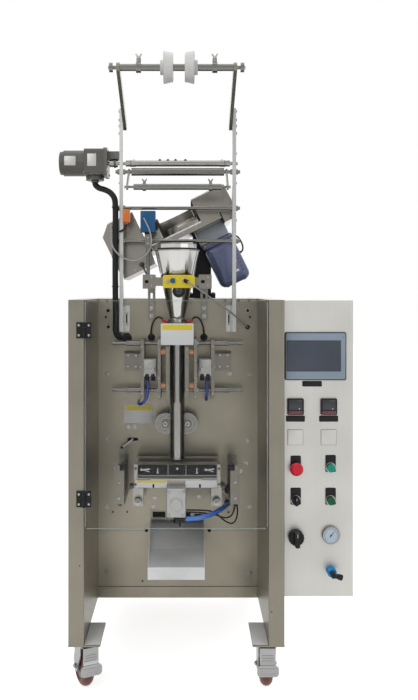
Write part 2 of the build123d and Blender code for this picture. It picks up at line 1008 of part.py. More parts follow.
# Film frame: two flat posts on the mounting panel, each with a welded angle bracket
frame_post_bottom = cabinet_top - frame_post_sink
with BuildPart() as film_frame:
    for hand in (-1, 1):
        post_side = min(hand * post_inner, hand * post_outer)
        slab(
            at_side(post_side),
            (post_front, frame_post_bottom),
            (post_front + frame_post_depth, cabinet_top + frame_post_rise),
            frame_post_width,
            corner=sheet,
        )
        bracket_low = min(hand * post_inner, hand * (post_inner - frame_bracket_width))
        slab(
            at_height(frame_post_bottom),
            (bracket_low, bay_depth - frame_bracket_sheet),
            (bracket_low + frame_bracket_width, bay_depth),
            frame_bracket_height,
        )
        web_low = min(hand * post_inner, hand * (post_inner - frame_bracket_sheet))
        slab(
            at_height(frame_post_bottom),
            (web_low, rod_depth),
            (web_low + frame_bracket_sheet, bay_depth),
            frame_bracket_height,
        )
        round_bar(
            at_side(post_side),
            [(rod_depth, driven_roller_z)],
            roller_journal + 2 * running,
            frame_post_width,
            mode=Mode.SUBTRACT,
        )
        round_bar(
            at_side(post_side),
            [
                (rod_depth, upper_cross_rod_z),
                (rod_depth, lower_cross_rod_z),
                (idle_roller_depth, idle_roller_z),
            ],
            cross_rod_diameter,
            frame_post_width,
            mode=Mode.SUBTRACT,
        )

# Cross rods between the posts: two plain ones, the idle roller's shaft, and the sensor's rod
mark_rod_depth = rod_depth - mark_rod_reach
mark_sensor_bottom = cabinet_top + mark_sensor_rise
rod_half = post_outer + cross_rod_overhang
with BuildPart() as cross_rods:
    round_bar(
        at_side(-rod_half),
        [
            (rod_depth, upper_cross_rod_z),
            (rod_depth, lower_cross_rod_z),
            (idle_roller_depth, idle_roller_z),
        ],
        cross_rod_diameter,
        2 * rod_half,
    )
    slab(
        at_height(lower_cross_rod_z - clamp_height / 2),
        (mark_sensor_x - clamp_width / 2, mark_rod_depth - clamp_width / 2),
        (mark_sensor_x + clamp_width / 2, rod_depth + clamp_width / 2),
        clamp_height,
        corner=clamp_width / 8,
    )
    round_bar(
        at_height(mark_sensor_bottom - mark_rod_length),
        [(mark_sensor_x, mark_rod_depth)],
        cross_rod_diameter,
        mark_rod_length,
    )

# Reel arms: flat bars that lean forward from the posts and carry the reel shaft
arm_outer = post_inner
arm_inner = arm_outer - reel_arm_thickness
arm_foot_z = cabinet_top + reel_arm_foot_rise
arm_rise = math.degrees(math.atan2(reel_z - arm_foot_z, rod_depth - reel_depth))
arm_length = math.hypot(reel_z - arm_foot_z, rod_depth - reel_depth)
with BuildPart() as reel_arms:
    for hand in (-1, 1):
        with BuildSketch(at_side(min(hand * arm_inner, hand * arm_outer))) as arm:
            middle = ((reel_depth + rod_depth) / 2, (reel_z + arm_foot_z) / 2)
            with Locations(Location(middle, -arm_rise)):
                SlotCenterToCenter(arm_length, reel_arm_width)
            with Locations((reel_depth, reel_z)):
                Circle(roller_journal / 2 + running, mode=Mode.SUBTRACT)
        extrude(arm.sketch, amount=reel_arm_thickness)

# Reel shaft with its two clamping collars, and the cones that centre the film core
with BuildPart() as reel_shaft:
    body_half = arm_inner - reel_end_gap
    end_half = arm_outer + reel_shaft_overhang
    reel_axis = [(reel_depth, reel_z)]
    round_bar(at_side(-body_half), reel_axis, reel_shaft_diameter, 2 * body_half)
    round_bar(at_side(-end_half), reel_axis, roller_journal, 2 * end_half)
    for hand in (-1, 1):
        low = hand * reel_collar_x - reel_collar_width / 2
        round_bar(at_side(low), reel_axis, reel_collar_diameter, reel_collar_width)
        round_bar(
            at_height(reel_z),
            [(hand * reel_collar_x, reel_depth)],
            reel_boss_diameter,
            reel_collar_diameter / 2 + reel_boss_height,
        )
        knob_low = min(hand * end_half, hand * (end_half - reel_knob_width))
        round_bar(at_side(knob_low), reel_axis, reel_knob_diameter, reel_knob_width)

with BuildPart() as reel_cones:
    for hand in (-1, 1):
        near = cone_x + hand * cone_gap / 2
        far = near + hand * cone_length
        with BuildSketch(at_side(near)) as small_end:
            with Locations((reel_depth, reel_z)):
                Circle(cone_small_diameter / 2)
        with BuildSketch(at_side(far)) as large_end:
            with Locations((reel_depth, reel_z)):
                Circle(cone_large_diameter / 2)
        loft([small_end.sketch, large_end.sketch])
        hub_low = min(far, far + hand * cone_hub_length)
        round_bar(at_side(hub_low), [(reel_depth, reel_z)], cone_hub_diameter, cone_hub_length)
    cone_span = cone_gap + cone_length + cone_hub_length
    round_bar(
        at_side(cone_x - cone_span),
        [(reel_depth, reel_z)],
        reel_shaft_diameter,
        2 * cone_span,
        mode=Mode.SUBTRACT,
    )

# Driven roller in the posts, with its hubs and the coupling to the motor
with BuildPart() as driven_roller:
    driven_axis = [(rod_depth, driven_roller_z)]
    roller_half = post_inner - roller_end_gap
    journal_end = post_outer + journal_overhang
    round_bar(at_side(-roller_half), driven_axis, driven_roller_diameter, 2 * roller_half)
    round_bar(
        at_side(motor_face_x + touch),
        driven_axis,
        roller_journal,
        journal_end - motor_face_x - touch,
    )
    for hand in (-1, 1):
        low = hand * driven_hub_x - driven_hub_width / 2
        round_bar(at_side(low), driven_axis, driven_hub_diameter, driven_hub_width)
    coupling_low = -post_outer - guard_gap - coupling_length
    round_bar(at_side(coupling_low), driven_axis, coupling_diameter, coupling_length)

# Idle roller on its fixed shaft, and the dancer that swings on the shaft's ends
idle_half = dancer_arm_x - dancer_arm_thickness - guard_gap
with BuildPart() as idle_roller:
    idle_axis = [(idle_roller_depth, idle_roller_z)]
    idle_bore = cross_rod_diameter + 2 * running
    round_bar(at_side(-idle_half), idle_axis, idle_roller_diameter, 2 * idle_half, bore=idle_bore)

arm_drop = math.degrees(math.atan2(dancer_roller_drop, dancer_roller_reach))
dancer_length = math.hypot(dancer_roller_drop, dancer_roller_reach)
with BuildPart() as dancer_arms:
    for hand in (-1, 1):
        low = min(hand * dancer_arm_x, hand * (dancer_arm_x - dancer_arm_thickness))
        with BuildSketch(at_side(low)) as arm:
            middle = (
                (dancer_roller_depth + idle_roller_depth) / 2,
                (dancer_roller_z + idle_roller_z) / 2,
            )
            with Locations(Location(middle, arm_drop)):
                SlotCenterToCenter(dancer_length, dancer_arm_width)
            with Locations((idle_roller_depth, idle_roller_z)):
                Circle(cross_rod_diameter / 2 + running, mode=Mode.SUBTRACT)
            with Locations((dancer_roller_depth, dancer_roller_z)):
                Circle(dancer_journal / 2 + running, mode=Mode.SUBTRACT)
        extrude(arm.sketch, amount=dancer_arm_thickness)

with BuildPart() as dancer_roller:
    dancer_axis = [(dancer_roller_depth, dancer_roller_z)]
    dancer_half = dancer_arm_x - dancer_arm_thickness - dancer_roller_end_gap
    dancer_end = dancer_arm_x + dancer_journal / 2
    round_bar(at_side(-dancer_half), dancer_axis, dancer_roller_diameter, 2 * dancer_half)
    round_bar(at_side(-dancer_end), dancer_axis, dancer_journal, 2 * dancer_end)
    for hand in (-1, 1):
        low = hand * dancer_collar_x - dancer_collar_width / 2
        round_bar(at_side(low), dancer_axis, dancer_collar_diameter, dancer_collar_width)

# Film motor: a round can and a square gearhead on a flange, held to the left post
motor_axis = (rod_depth, driven_roller_z)
with BuildPart() as film_motor:
    plate(
        at_side(gearhead_far),
        motor_axis,
        gearhead_size,
        gearhead_size,
        gearhead_length,
        corner=gearhead_corner,
    )
    plate(
        at_side(motor_face_x - motor_flange_sheet),
        motor_axis,
        motor_flange_size,
        motor_flange_size,
        motor_flange_sheet,
        corner=gearhead_corner,
    )
    can_front = -motor_reach + motor_cap_length
    round_bar(at_side(can_front), [motor_axis], motor_can_diameter, gearhead_far - can_front)
    round_bar(at_side(-motor_reach), [motor_axis], motor_cap_diameter, motor_cap_length)
    chamfer(film_motor.edges().sort_by(Axis.X)[0], sheet)
    round_bar(
        at_height(driven_roller_z - gearhead_size / 2 - motor_terminal_height),
        [(gearhead_far + gearhead_length / 2, rod_depth)],
        motor_terminal_diameter,
        motor_terminal_height,
    )
    bracket_low = driven_roller_z + coupling_diameter / 2 + touch
    slab(
        at_side(motor_face_x),
        (rod_depth - frame_post_depth / 2, bracket_low),
        (rod_depth - frame_post_depth / 2 + motor_bracket_depth, bracket_low + motor_bracket_height),
        motor_face_gap,
    )

# Forming tube with its clamping collar and its bracket on the panel
with BuildPart() as forming_tube:
    tube_centre = [(tube_x, tube_depth)]
    round_bar(
        at_height(tube_top - tube_collar_height),
        tube_centre,
        tube_collar_diameter,
        tube_collar_height,
    )
    round_bar(at_height(tube_bottom), tube_centre, tube_diameter, tube_top - tube_bottom)
    slab(
        at_height(tube_top - tube_collar_height),
        (tube_x - tube_bracket_width / 2, tube_depth + tube_diameter / 2 - tube_wall),
        (tube_x + tube_bracket_width / 2, bay_depth),
        tube_bracket_height,
    )
    round_bar(
        at_height(tube_bottom),
        tube_centre,
        tube_diameter - 2 * tube_wall,
        tube_top - tube_bottom,
        mode=Mode.SUBTRACT,
    )

# Funnel: a spun cone on the tube, with a stepped collar at its mouth
funnel_top = cabinet_top + funnel_rise
with BuildPart() as funnel:
    with BuildSketch(front.offset(-tube_depth)) as section:
        with BuildLine():
            Polyline(
                (tube_x + tube_diameter / 2, tube_top),
                (tube_x + funnel_diameter / 2, funnel_top),
                (tube_x + funnel_neck_diameter / 2, funnel_top + funnel_step),
                (tube_x + funnel_neck_diameter / 2, funnel_top + funnel_collar_height),
            )
            offset(amount=tube_wall, side=Side.LEFT)
        make_face()
    revolve(
        section.sketch,
        axis=Axis(floor.from_local_coords((tube_x, tube_depth, 0)), (0, 0, 1)),
    )

# Drop sensor in front of the funnel, between the arms of two slotted brackets
drop_sensor_back = tube_depth - funnel_diameter / 2 + drop_sensor_inset
drop_sensor_bottom = cabinet_top + drop_sensor_rise
drop_middle = drop_sensor_bottom + drop_sensor_height / 2
with BuildPart() as funnel_brackets:
    for hand in (-1, 1):
        bar_low = hand * slot_bar_x - slot_bar_width / 2
        bar_top = drop_middle + drop_arm_height / 2
        slab(
            at_depth(bay_depth),
            (bar_low, bar_top - slot_bar_length),
            (bar_low + slot_bar_width, bar_top),
            slot_bar_sheet,
            corner=slot_bar_sheet,
        )
        slot_cut(
            at_depth(bay_depth),
            (hand * slot_bar_x, bar_top - slot_bar_length + bar_slot_length),
            bar_slot_length,
            bar_slot_width,
            slot_bar_sheet,
        )
        arm_low = hand * slot_bar_x - drop_arm_thickness / 2
        slab(
            at_height(drop_middle - drop_arm_height / 2),
            (arm_low, drop_sensor_back - drop_arm_thickness),
            (arm_low + drop_arm_thickness, bay_depth - slot_bar_sheet),
            drop_arm_height,
        )
        reach = drop_sensor_x + hand * drop_sensor_width / 2
        tip = hand * slot_bar_x
        slab(
            at_height(drop_middle - drop_arm_height / 2),
            (min(reach, tip), drop_sensor_back - drop_arm_thickness),
            (max(reach, tip), drop_sensor_back),
            drop_arm_height,
        )
        plate(
            at_depth(drop_sensor_back),
            (hand * slot_bar_x, drop_middle),
            drop_block_width,
            drop_block_height,
            drop_arm_thickness + sheet,
            corner=sheet,
        )

with BuildPart() as drop_sensor:
    plate(
        at_depth(drop_sensor_back),
        (drop_sensor_x, drop_middle),
        drop_sensor_width,
        drop_sensor_height,
        drop_sensor_length,
        corner=drop_sensor_height / 6,
    )
    fillet(drop_sensor.edges().filter_by(Axis.X).sort_by(Axis.Y)[0:2], sheet)
    round_bar(
        at_depth(drop_sensor_back),
        [(drop_sensor_x, drop_sensor_bottom - lens_drop + touch)],
        lens_diameter,
        lens_length,
    )

# Guide rods of the vertical sealing unit, with a fixed sleeve at each end
with BuildPart() as guide_rods:
    rod_centres = [(seal_rod_depth, height) for height in seal_rod_heights]
    round_bar(at_side(-seal_rod_half), rod_centres, seal_rod_diameter, 2 * seal_rod_half)
    for hand in (-1, 1):
        low = hand * sleeve_x - sleeve_length / 2
        round_bar(at_side(low), rod_centres, sleeve_diameter, sleeve_length)

# Outer plates, each on an angled foot that is screwed to the mounting panel
with BuildPart() as seal_plates:
    for hand in (-1, 1):
        low = hand * outer_plate_x - outer_plate_thickness / 2
        slab(
            at_side(low),
            (seal_rod_depth - outer_plate_front, lower_seal_rod_z - outer_plate_foot),
            (bay_depth, upper_seal_rod_z + outer_plate_margin),
            outer_plate_thickness,
        )
        foot_top = cabinet_top - foot_bracket_drop
        outer_face = outer_plate_x + outer_plate_thickness / 2
        foot_far = outer_face + foot_bracket_width
        slab(
            at_depth(bay_depth),
            (min(hand * outer_face, hand * foot_far), foot_top - foot_bracket_height),
            (max(hand * outer_face, hand * foot_far), foot_top),
            foot_bracket_sheet,
            corner=sheet,
        )
        outline_prism(
            at_height(foot_top - foot_bracket_sheet),
            [
                (hand * outer_face, bay_depth - foot_bracket_sheet),
                (hand * outer_face, seal_rod_depth + outer_plate_margin),
                (hand * foot_far, bay_depth - foot_bracket_sheet),
            ],
            foot_bracket_sheet,
        )
    round_bar(
        at_side(-seal_rod_half),
        [(seal_rod_depth, height) for height in seal_rod_heights],
        seal_rod_diameter,
        2 * seal_rod_half,
        mode=Mode.SUBTRACT,
    )

# Air cylinders on the outer plates, bored for the pistons of the moving plates
piston_z = lower_seal_rod_z + seal_rod_spacing / 2
cylinder_back = seal_rod_depth - seal_rod_diameter / 2 - cylinder_rod_gap
cylinder_depth_middle = cylinder_back - cylinder_depth / 2
plate_face_x = outer_plate_x - outer_plate_thickness / 2
with BuildPart() as seal_cylinders:
    for hand in (-1, 1):
        low = min(hand * plate_face_x, hand * (plate_face_x - cylinder_width))
        plate(
            at_side(low),
            (cylinder_depth_middle, piston_z),
            cylinder_depth,
            cylinder_height,
            cylinder_width,
            corner=2 * sheet,
        )
        bore_low = min(hand * (plate_face_x - cylinder_width), hand * (plate_face_x - sheet))
        round_bar(
            at_side(bore_low),
            [(cylinder_depth_middle, piston_z)],
            piston_diameter + 2 * running,
            cylinder_width - sheet,
            mode=Mode.SUBTRACT,
        )


def seal_carriage(hand):
    """Adds an inner plate that slides on the rods, its piston, its spacers and its bar."""
    low = hand * inner_plate_x - inner_plate_thickness / 2
    bar_back = tube_depth - tube_diameter / 2 - fin_gap
    slab(
        at_side(low),
        (bar_back - seal_bar_depth, lower_seal_rod_z - inner_plate_margin),
        (seal_rod_depth + inner_plate_back, upper_seal_rod_z + inner_plate_margin),
        inner_plate_thickness,
    )
    round_bar(
        at_side(low),
        [(seal_rod_depth, height) for height in seal_rod_heights],
        seal_rod_diameter + 2 * running,
        inner_plate_thickness,
        mode=Mode.SUBTRACT,
    )
    outer_side = inner_plate_x + inner_plate_thickness / 2
    piston_low = min(hand * outer_side, hand * (outer_side + piston_length))
    piston_centre = [(cylinder_depth_middle, piston_z)]
    round_bar(at_side(piston_low), piston_centre, piston_diameter, piston_length)
    bar_near = hand * seal_bar_gap
    bar_far = hand * (seal_bar_gap + seal_bar_thickness)
    bar_bottom = lower_seal_rod_z - seal_bar_margin
    slab(
        at_side(min(bar_near, bar_far)),
        (bar_back - seal_bar_depth, bar_bottom),
        (bar_back, bar_bottom + seal_bar_height),
        seal_bar_thickness,
        corner=seal_bar_corner,
    )
    inner_side = hand * (inner_plate_x - inner_plate_thickness / 2)
    spacer_heights = (
        upper_seal_rod_z - spacer_margin,
        lower_seal_rod_z + spacer_margin,
    )
    round_bar(
        at_side(min(bar_far, inner_side)),
        [(bar_back - seal_bar_depth / 2, height) for height in spacer_heights],
        spacer_diameter,
        abs(inner_side - bar_far),
    )


with BuildPart() as left_seal_bar:
    seal_carriage(-1)

with BuildPart() as right_seal_bar:
    seal_carriage(1)


# Pull wheels behind the forming tube
def add_pull_wheel(x):
    """Adds a flat wheel, its hub, and the shaft that runs back through the mounting panel."""
    wheel_back = pull_wheel_depth + pull_wheel_thickness
    round_bar(
        at_depth(wheel_back), [(x, pull_wheel_z)], pull_wheel_diameter, pull_wheel_thickness
    )
    round_bar(
        at_depth(wheel_back),
        [(x, pull_wheel_z)],
        pull_hub_diameter,
        pull_wheel_thickness + pull_hub_length,
    )
    shaft_back = bay_depth + panel_sheet + pull_shaft_tail
    round_bar(
        at_depth(shaft_back),
        [(x, pull_wheel_z)],
        pull_shaft_diameter,
        shaft_back - pull_wheel_depth + pull_shaft_nose,
    )


with BuildPart() as left_pull_wheel:
    add_pull_wheel(pull_wheel_places[0])

with BuildPart() as right_pull_wheel:
    add_pull_wheel(pull_wheel_places[1])

# Rails and rods of the horizontal sealing unit, on the mounting panel
jaw_rail_front = tube_depth - jaw_rail_reach
with BuildPart() as jaw_rails:
    for hand in (-1, 1):
        strip(
            at_height(jaw_top - jaw_rail_height),
            [
                (hand * (jaw_rail_web_x + jaw_rail_width), jaw_rail_front),
                (hand * jaw_rail_web_x, jaw_rail_front),
                (hand * jaw_rail_web_x, bay_depth),
                (hand * (jaw_rail_web_x + jaw_rail_width), bay_depth),
            ],
            jaw_rail_sheet,
            jaw_rail_height,
            flip=hand < 0,
        )
        stop_low = min(
            hand * (jaw_rail_web_x + jaw_rail_sheet),
            hand * (jaw_rail_web_x + jaw_rail_sheet + jaw_stop_size),
        )
        slab(
            at_height(jaw_top - jaw_stop_size),
            (stop_low, jaw_rail_front - jaw_stop_size),
            (stop_low + jaw_stop_size, jaw_rail_front),
            jaw_stop_size,
        )

front_jaw_near = tube_depth - jaw_face_gap - jaw_block_depth
jaw_rod_front = front_jaw_near - jaw_rod_overhang
jaw_rod_back = bay_depth + panel_sheet + jaw_rod_tail
with BuildPart() as jaw_rods:
    jaw_rod_centres = [(-jaw_rod_x, jaw_rod_z), (jaw_rod_x, jaw_rod_z)]
    rod_length = jaw_rod_back - jaw_rod_front
    round_bar(at_depth(jaw_rod_back), jaw_rod_centres, jaw_rod_diameter, rod_length)
    round_bar(at_depth(jaw_rod_front), jaw_rod_centres, jaw_nut_diameter, jaw_nut_length)


def add_jaw(near, far, outward):
    """Adds a jaw between two depths, its outer face towards the front (1) or the back (-1)."""
    top_low = jaw_top - jaw_body_height
    body_near = near + jaw_body_inset if outward > 0 else near
    body_far = far if outward > 0 else far - jaw_body_inset
    slab(at_depth(body_far), (-jaw_half, top_low), (jaw_half, jaw_top), body_far - body_near)
    for hand in (-1, 1):
        cheek_low = min(hand * jaw_half, hand * (jaw_half + jaw_cheek_thickness))
        slab(
            at_depth(far),
            (cheek_low, top_low),
            (cheek_low + jaw_cheek_thickness, jaw_top),
            far - near,
        )
        lug_high = top_low + touch
        slab(
            at_depth(far),
            (hand * jaw_rod_x - jaw_lug_width / 2, jaw_rod_z - jaw_lug_width / 2),
            (hand * jaw_rod_x + jaw_lug_width / 2, lug_high),
            far - near,
        )
        round_bar(
            at_depth(far),
            [(hand * jaw_rod_x, jaw_rod_z)],
            jaw_rod_diameter + 2 * running,
            far - near,
            mode=Mode.SUBTRACT,
        )


# Front jaw: body with cheeks, a heater bar along its top and two cover plates below it
front_jaw_far = tube_depth - jaw_face_gap
with BuildPart() as front_jaw:
    add_jaw(front_jaw_near, front_jaw_far, 1)
    slab(
        at_depth(front_jaw_near + jaw_body_inset),
        (-jaw_half + sheet, jaw_top - jaw_bar_height),
        (jaw_half - sheet, jaw_top - sheet),
        jaw_body_inset - sheet,
        corner=2 * sheet,
    )
    plate_low = jaw_top - jaw_body_height + sheet
    for hand in (-1, 1):
        slab(
            at_depth(front_jaw_near + jaw_body_inset),
            (hand * jaw_plate_x, plate_low),
            (hand * (jaw_half - sheet), plate_low + jaw_plate_height),
            jaw_plate_thickness,
        )

rear_jaw_near = tube_depth + jaw_face_gap
with BuildPart() as rear_jaw:
    add_jaw(rear_jaw_near, rear_jaw_near + jaw_block_depth, -1)

# Knife cylinder: a cast body under the front jaw, with a round cover and a hose boss
knife_top = jaw_top - knife_sink
knife_middle = (knife_x, knife_top - knife_height / 2)
with BuildPart() as knife_cylinder:
    plate(
        at_depth(front_jaw_near),
        knife_middle,
        knife_width,
        knife_height,
        knife_depth,
        corner=knife_corner,
    )
    chamfer(knife_cylinder.faces().sort_by(Axis.Y)[0].edges(), sheet)
    # Foot on its back that seats on the jaw between the two cover plates
    slab(
        at_depth(front_jaw_near + jaw_body_inset),
        (knife_x - knife_width / 2 + knife_corner, jaw_top - jaw_body_height),
        (knife_x + knife_width / 2 - knife_corner, knife_top),
        jaw_body_inset,
    )
    round_bar(
        at_depth(front_jaw_near - knife_depth),
        [(knife_x, knife_top - knife_height / 2 - knife_corner)],
        knife_face_diameter,
        knife_face_length,
    )
    round_bar(
        at_height(knife_top - knife_height - knife_boss_length),
        [(knife_x + knife_face_length, front_jaw_near - knife_depth / 2)],
        knife_boss_diameter,
        knife_boss_length,
    )
    fitting_depth = front_jaw_near - knife_depth / 2
    slab(
        at_height(knife_top - knife_height - knife_fitting_height + touch),
        (knife_x + knife_face_length, fitting_depth - knife_fitting_width / 2),
        (knife_x + knife_fitting_length, fitting_depth + knife_fitting_width / 2),
        knife_fitting_height,
        corner=sheet,
    )

# Discharge chute: a folded trough that slopes forward out of the outlet
chute_floor = [
    (bay_depth + chute_tail, outlet_bottom + chute_tail_rise),
    (bay_depth, outlet_bottom + chute_seat),
    (bay_depth - chute_bend_reach, outlet_bottom - chute_bend_drop),
    (bay_depth - chute_reach, outlet_bottom - chute_drop),
]
lip_end = (chute_floor[3][0] - chute_lip_reach, chute_floor[3][1] - chute_lip)
chute_rim = [(depth, height + chute_wall) for depth, height in chute_floor[2::-1]]
with BuildPart() as discharge_chute:
    strip(
        at_side(outlet_x - outlet_width / 2),
        chute_floor + [lip_end],
        chute_sheet,
        outlet_width,
    )
    for low in (outlet_x - outlet_width / 2, outlet_x + outlet_width / 2 - chute_sheet):
        outline_prism(at_side(low), chute_floor + chute_rim, chute_sheet)

# Door: clear sheet in the bay's opening, on two hinges on the left post
door_top = cabinet_top - door_side_gap
with BuildPart() as door_sheet:
    slab(
        at_depth(door_thickness),
        (-bay_half + door_side_gap, door_top - door_height),
        (bay_half - door_side_gap, door_top),
        door_thickness,
        corner=door_corner,
    )

hinge_axis_x = -bay_half
hinge_axis_depth = -hinge_knuckle / 2 - touch
knuckle_height = hinge_height / 3
hinge_heights = (cabinet_top - upper_hinge_drop, cabinet_top - lower_hinge_drop)


def hinge_half(height, hand, knuckles):
    """Adds one leaf of a hinge on the side given by hand, with a knuckle at each given third."""
    near = hinge_axis_x + hand * (hinge_knuckle / 2 + touch)
    far = hinge_axis_x + hand * hinge_width / 2
    low = height - hinge_height / 2
    slab(at_depth(0), (min(near, far), low), (max(near, far), low + hinge_height), hinge_leaf)
    for number in knuckles:
        start = low + number * knuckle_height + touch / 2
        tall = knuckle_height - touch
        centre = (hinge_axis_x, hinge_axis_depth)
        round_bar(at_height(start), [centre], hinge_knuckle, tall, bore=hinge_pin + 2 * running)
        web = (hinge_axis_x + hand * (hinge_pin / 2 + running + touch), -hinge_leaf)
        slab(at_height(start), (min(web[0], near), web[1]), (max(web[0], near), -touch), tall)


with BuildPart() as post_hinges:
    for height in hinge_heights:
        hinge_half(height, -1, (0, 2))
        pin_low = height - hinge_height / 2 + touch / 2
        pin_centre = [(hinge_axis_x, hinge_axis_depth)]
        round_bar(at_height(pin_low), pin_centre, hinge_pin, hinge_height - touch)
        for cap in (0, 2):
            cap_low = pin_low + cap * knuckle_height
            round_bar(at_height(cap_low), pin_centre, hinge_knuckle, knuckle_height - touch)

with BuildPart() as door_hinges:
    for height in hinge_heights:
        hinge_half(height, 1, (1,))

# Tablet feeder, drawn on its own tilted datum: x up the slope, z square off the disc
feeder_z = cabinet_top + feeder_rise
slope = math.radians(feeder_tilt)
tilted = Plane(
    origin=floor.from_local_coords((feeder_x, feeder_depth, feeder_z)),
    x_dir=(math.cos(slope), 0, math.sin(slope)),
    z_dir=(-math.sin(slope), 0, math.cos(slope)),
)
tilted_side = Plane(origin=tilted.origin, x_dir=tilted.x_dir, z_dir=-tilted.y_dir)
plate_top = feeder_plate_seat + feeder_plate_thickness
half_width = feeder_plate_width / 2
disc_centre = [(disc_x, 0)]
with BuildPart() as feeder_base:
    slab(
        tilted.offset(feeder_plate_seat),
        (feeder_plate_low, -half_width),
        (feeder_plate_high, half_width),
        feeder_plate_thickness,
        corner=feeder_plate_corner,
    )
    slab(
        tilted.offset(feeder_plate_seat - gearbox_height),
        (gearbox_low, -gearbox_width / 2),
        (gearbox_high, gearbox_width / 2),
        gearbox_height,
        corner=gearbox_corner,
    )
    round_bar(
        tilted.offset(feeder_plate_seat),
        disc_centre,
        roller_journal + 2 * running,
        feeder_plate_thickness,
        mode=Mode.SUBTRACT,
    )

# Feeding disc: a rimmed plate with a ring of tablet pockets, on its spindle
with BuildPart() as feeder_disc:
    disc_low = plate_top + disc_gap
    round_bar(tilted.offset(disc_low), disc_centre, disc_diameter, disc_thickness)
    pocket_radius = disc_diameter / 2 - disc_pocket_inset
    with BuildSketch(tilted.offset(disc_low)) as pockets:
        with Locations((disc_x, 0)):
            with PolarLocations(pocket_radius, disc_pocket_count):
                Circle(disc_pocket_diameter / 2)
    extrude(pockets.sketch, amount=disc_thickness, mode=Mode.SUBTRACT)
    round_bar(
        tilted.offset(disc_low + disc_thickness),
        disc_centre,
        spindle_cap_diameter,
        spindle_cap_height,
    )
    round_bar(
        tilted.offset(feeder_plate_seat + disc_rim),
        disc_centre,
        roller_journal,
        feeder_plate_thickness + disc_gap,
    )

# Bowl: an open ring round the disc, cut down at the front where the tablets leave
bowl_inner = disc_diameter + 2 * bowl_gap
with BuildPart() as feeder_bowl:
    round_bar(
        tilted.offset(plate_top),
        disc_centre,
        bowl_inner + 2 * bowl_wall,
        bowl_height,
        bore=bowl_inner,
    )
    slab(
        tilted.offset(plate_top + bowl_window_sill),
        (disc_x - bowl_window / 2, -bowl_inner),
        (disc_x + bowl_window / 2, 0),
        bowl_height,
        mode=Mode.SUBTRACT,
    )
    slab(
        tilted.offset(plate_top),
        (hood_low - hood_gap, -bowl_inner),
        (hood_high, bowl_inner),
        bowl_height,
        mode=Mode.SUBTRACT,
    )

# Hopper at the low side: an open sheet box with a flared lip and a sloping toe
hopper_top = hopper_height - hopper_sink
with BuildPart() as feeder_hopper:
    hopper_outline = [
        (hopper_low, -hopper_sink),
        (hopper_toe, -hopper_sink),
        (feeder_plate_low, feeder_plate_seat),
        (feeder_plate_low, hopper_top),
        (hopper_low + hopper_lip, hopper_top),
        (hopper_low, hopper_top - hopper_lip),
    ]
    outline_prism(tilted_side.offset(-half_width), hopper_outline, feeder_plate_width)
    hopper_room = [
        (hopper_low + hopper_wall, -hopper_sink + hopper_wall),
        (hopper_toe - hopper_wall, -hopper_sink + hopper_wall),
        (feeder_plate_low - hopper_wall, feeder_plate_seat + hopper_wall),
        (feeder_plate_low - hopper_wall, hopper_top + hopper_wall),
        (hopper_low + hopper_lip, hopper_top + hopper_wall),
        (hopper_low + hopper_wall, hopper_top - hopper_lip),
    ]
    outline_prism(
        tilted_side.offset(-half_width + hopper_wall),
        hopper_room,
        feeder_plate_width - 2 * hopper_wall,
        mode=Mode.SUBTRACT,
    )

    hood_end = feeder_plate_high + hopper_wall
    hood_outline = [
        (hood_low, plate_top),
        (hood_low, hood_top),
        (hood_high - hopper_wall, hood_top - hood_gap),
        (hood_high, hood_top - hood_chamfer),
        (hood_high - hood_toe, -hood_sink),
        (feeder_plate_high, -hood_sink),
        (feeder_plate_high, plate_top),
    ]
    outline_prism(tilted_side.offset(-half_width), hood_outline, feeder_plate_width)
    hood_room = [
        (hood_low - hopper_wall, plate_top),
        (hood_low - hopper_wall, hood_top - hopper_wall),
        (hood_high - 2 * hopper_wall, hood_top - 2 * hopper_wall),
        (hood_high - hopper_wall, hood_top - hood_chamfer),
        (hood_high - hood_toe - hopper_wall, hopper_wall - hood_sink),
        (hood_end, hopper_wall - hood_sink),
        (hood_end, plate_top),
    ]
    outline_prism(
        tilted_side.offset(-half_width + hopper_wall),
        hood_room,
        feeder_plate_width - 2 * hopper_wall,
        mode=Mode.SUBTRACT,
    )

# Feeder motor under the gearbox: a rounded body with cooling ribs and a stepped end
motor_top = feeder_plate_seat - gearbox_height
motor_centre = (feeder_motor_x, 0)
with BuildPart() as feeder_motor:
    plate(
        tilted.offset(motor_top - feeder_motor_length + feeder_motor_nose),
        motor_centre,
        feeder_motor_width,
        feeder_motor_width,
        feeder_motor_length - feeder_motor_nose,
        corner=feeder_motor_corner,
    )
    plate(
        tilted.offset(motor_top - feeder_motor_length),
        motor_centre,
        feeder_motor_width - feeder_motor_nose,
        feeder_motor_width - feeder_motor_nose,
        feeder_motor_nose,
        corner=feeder_motor_corner - feeder_motor_nose / 2,
    )
    for number in range(feeder_motor_rib_count):
        share = (number + 1) / (feeder_motor_rib_count + 1)
        rib_x = feeder_motor_x + (share - 1 / 2) * feeder_motor_width
        slab(
            tilted.offset(motor_top - feeder_motor_length + 2 * feeder_motor_nose),
            (rib_x - feeder_motor_rib / 2, -feeder_motor_width / 2 - feeder_motor_rib),
            (rib_x + feeder_motor_rib / 2, -feeder_motor_width / 2),
            feeder_motor_length - 4 * feeder_motor_nose,
        )


def under_plate(x):
    """The height of the base plate's underside at a distance right of the centreline."""
    return feeder_z + (x - feeder_x) * math.tan(slope) + feeder_plate_seat / math.cos(slope)


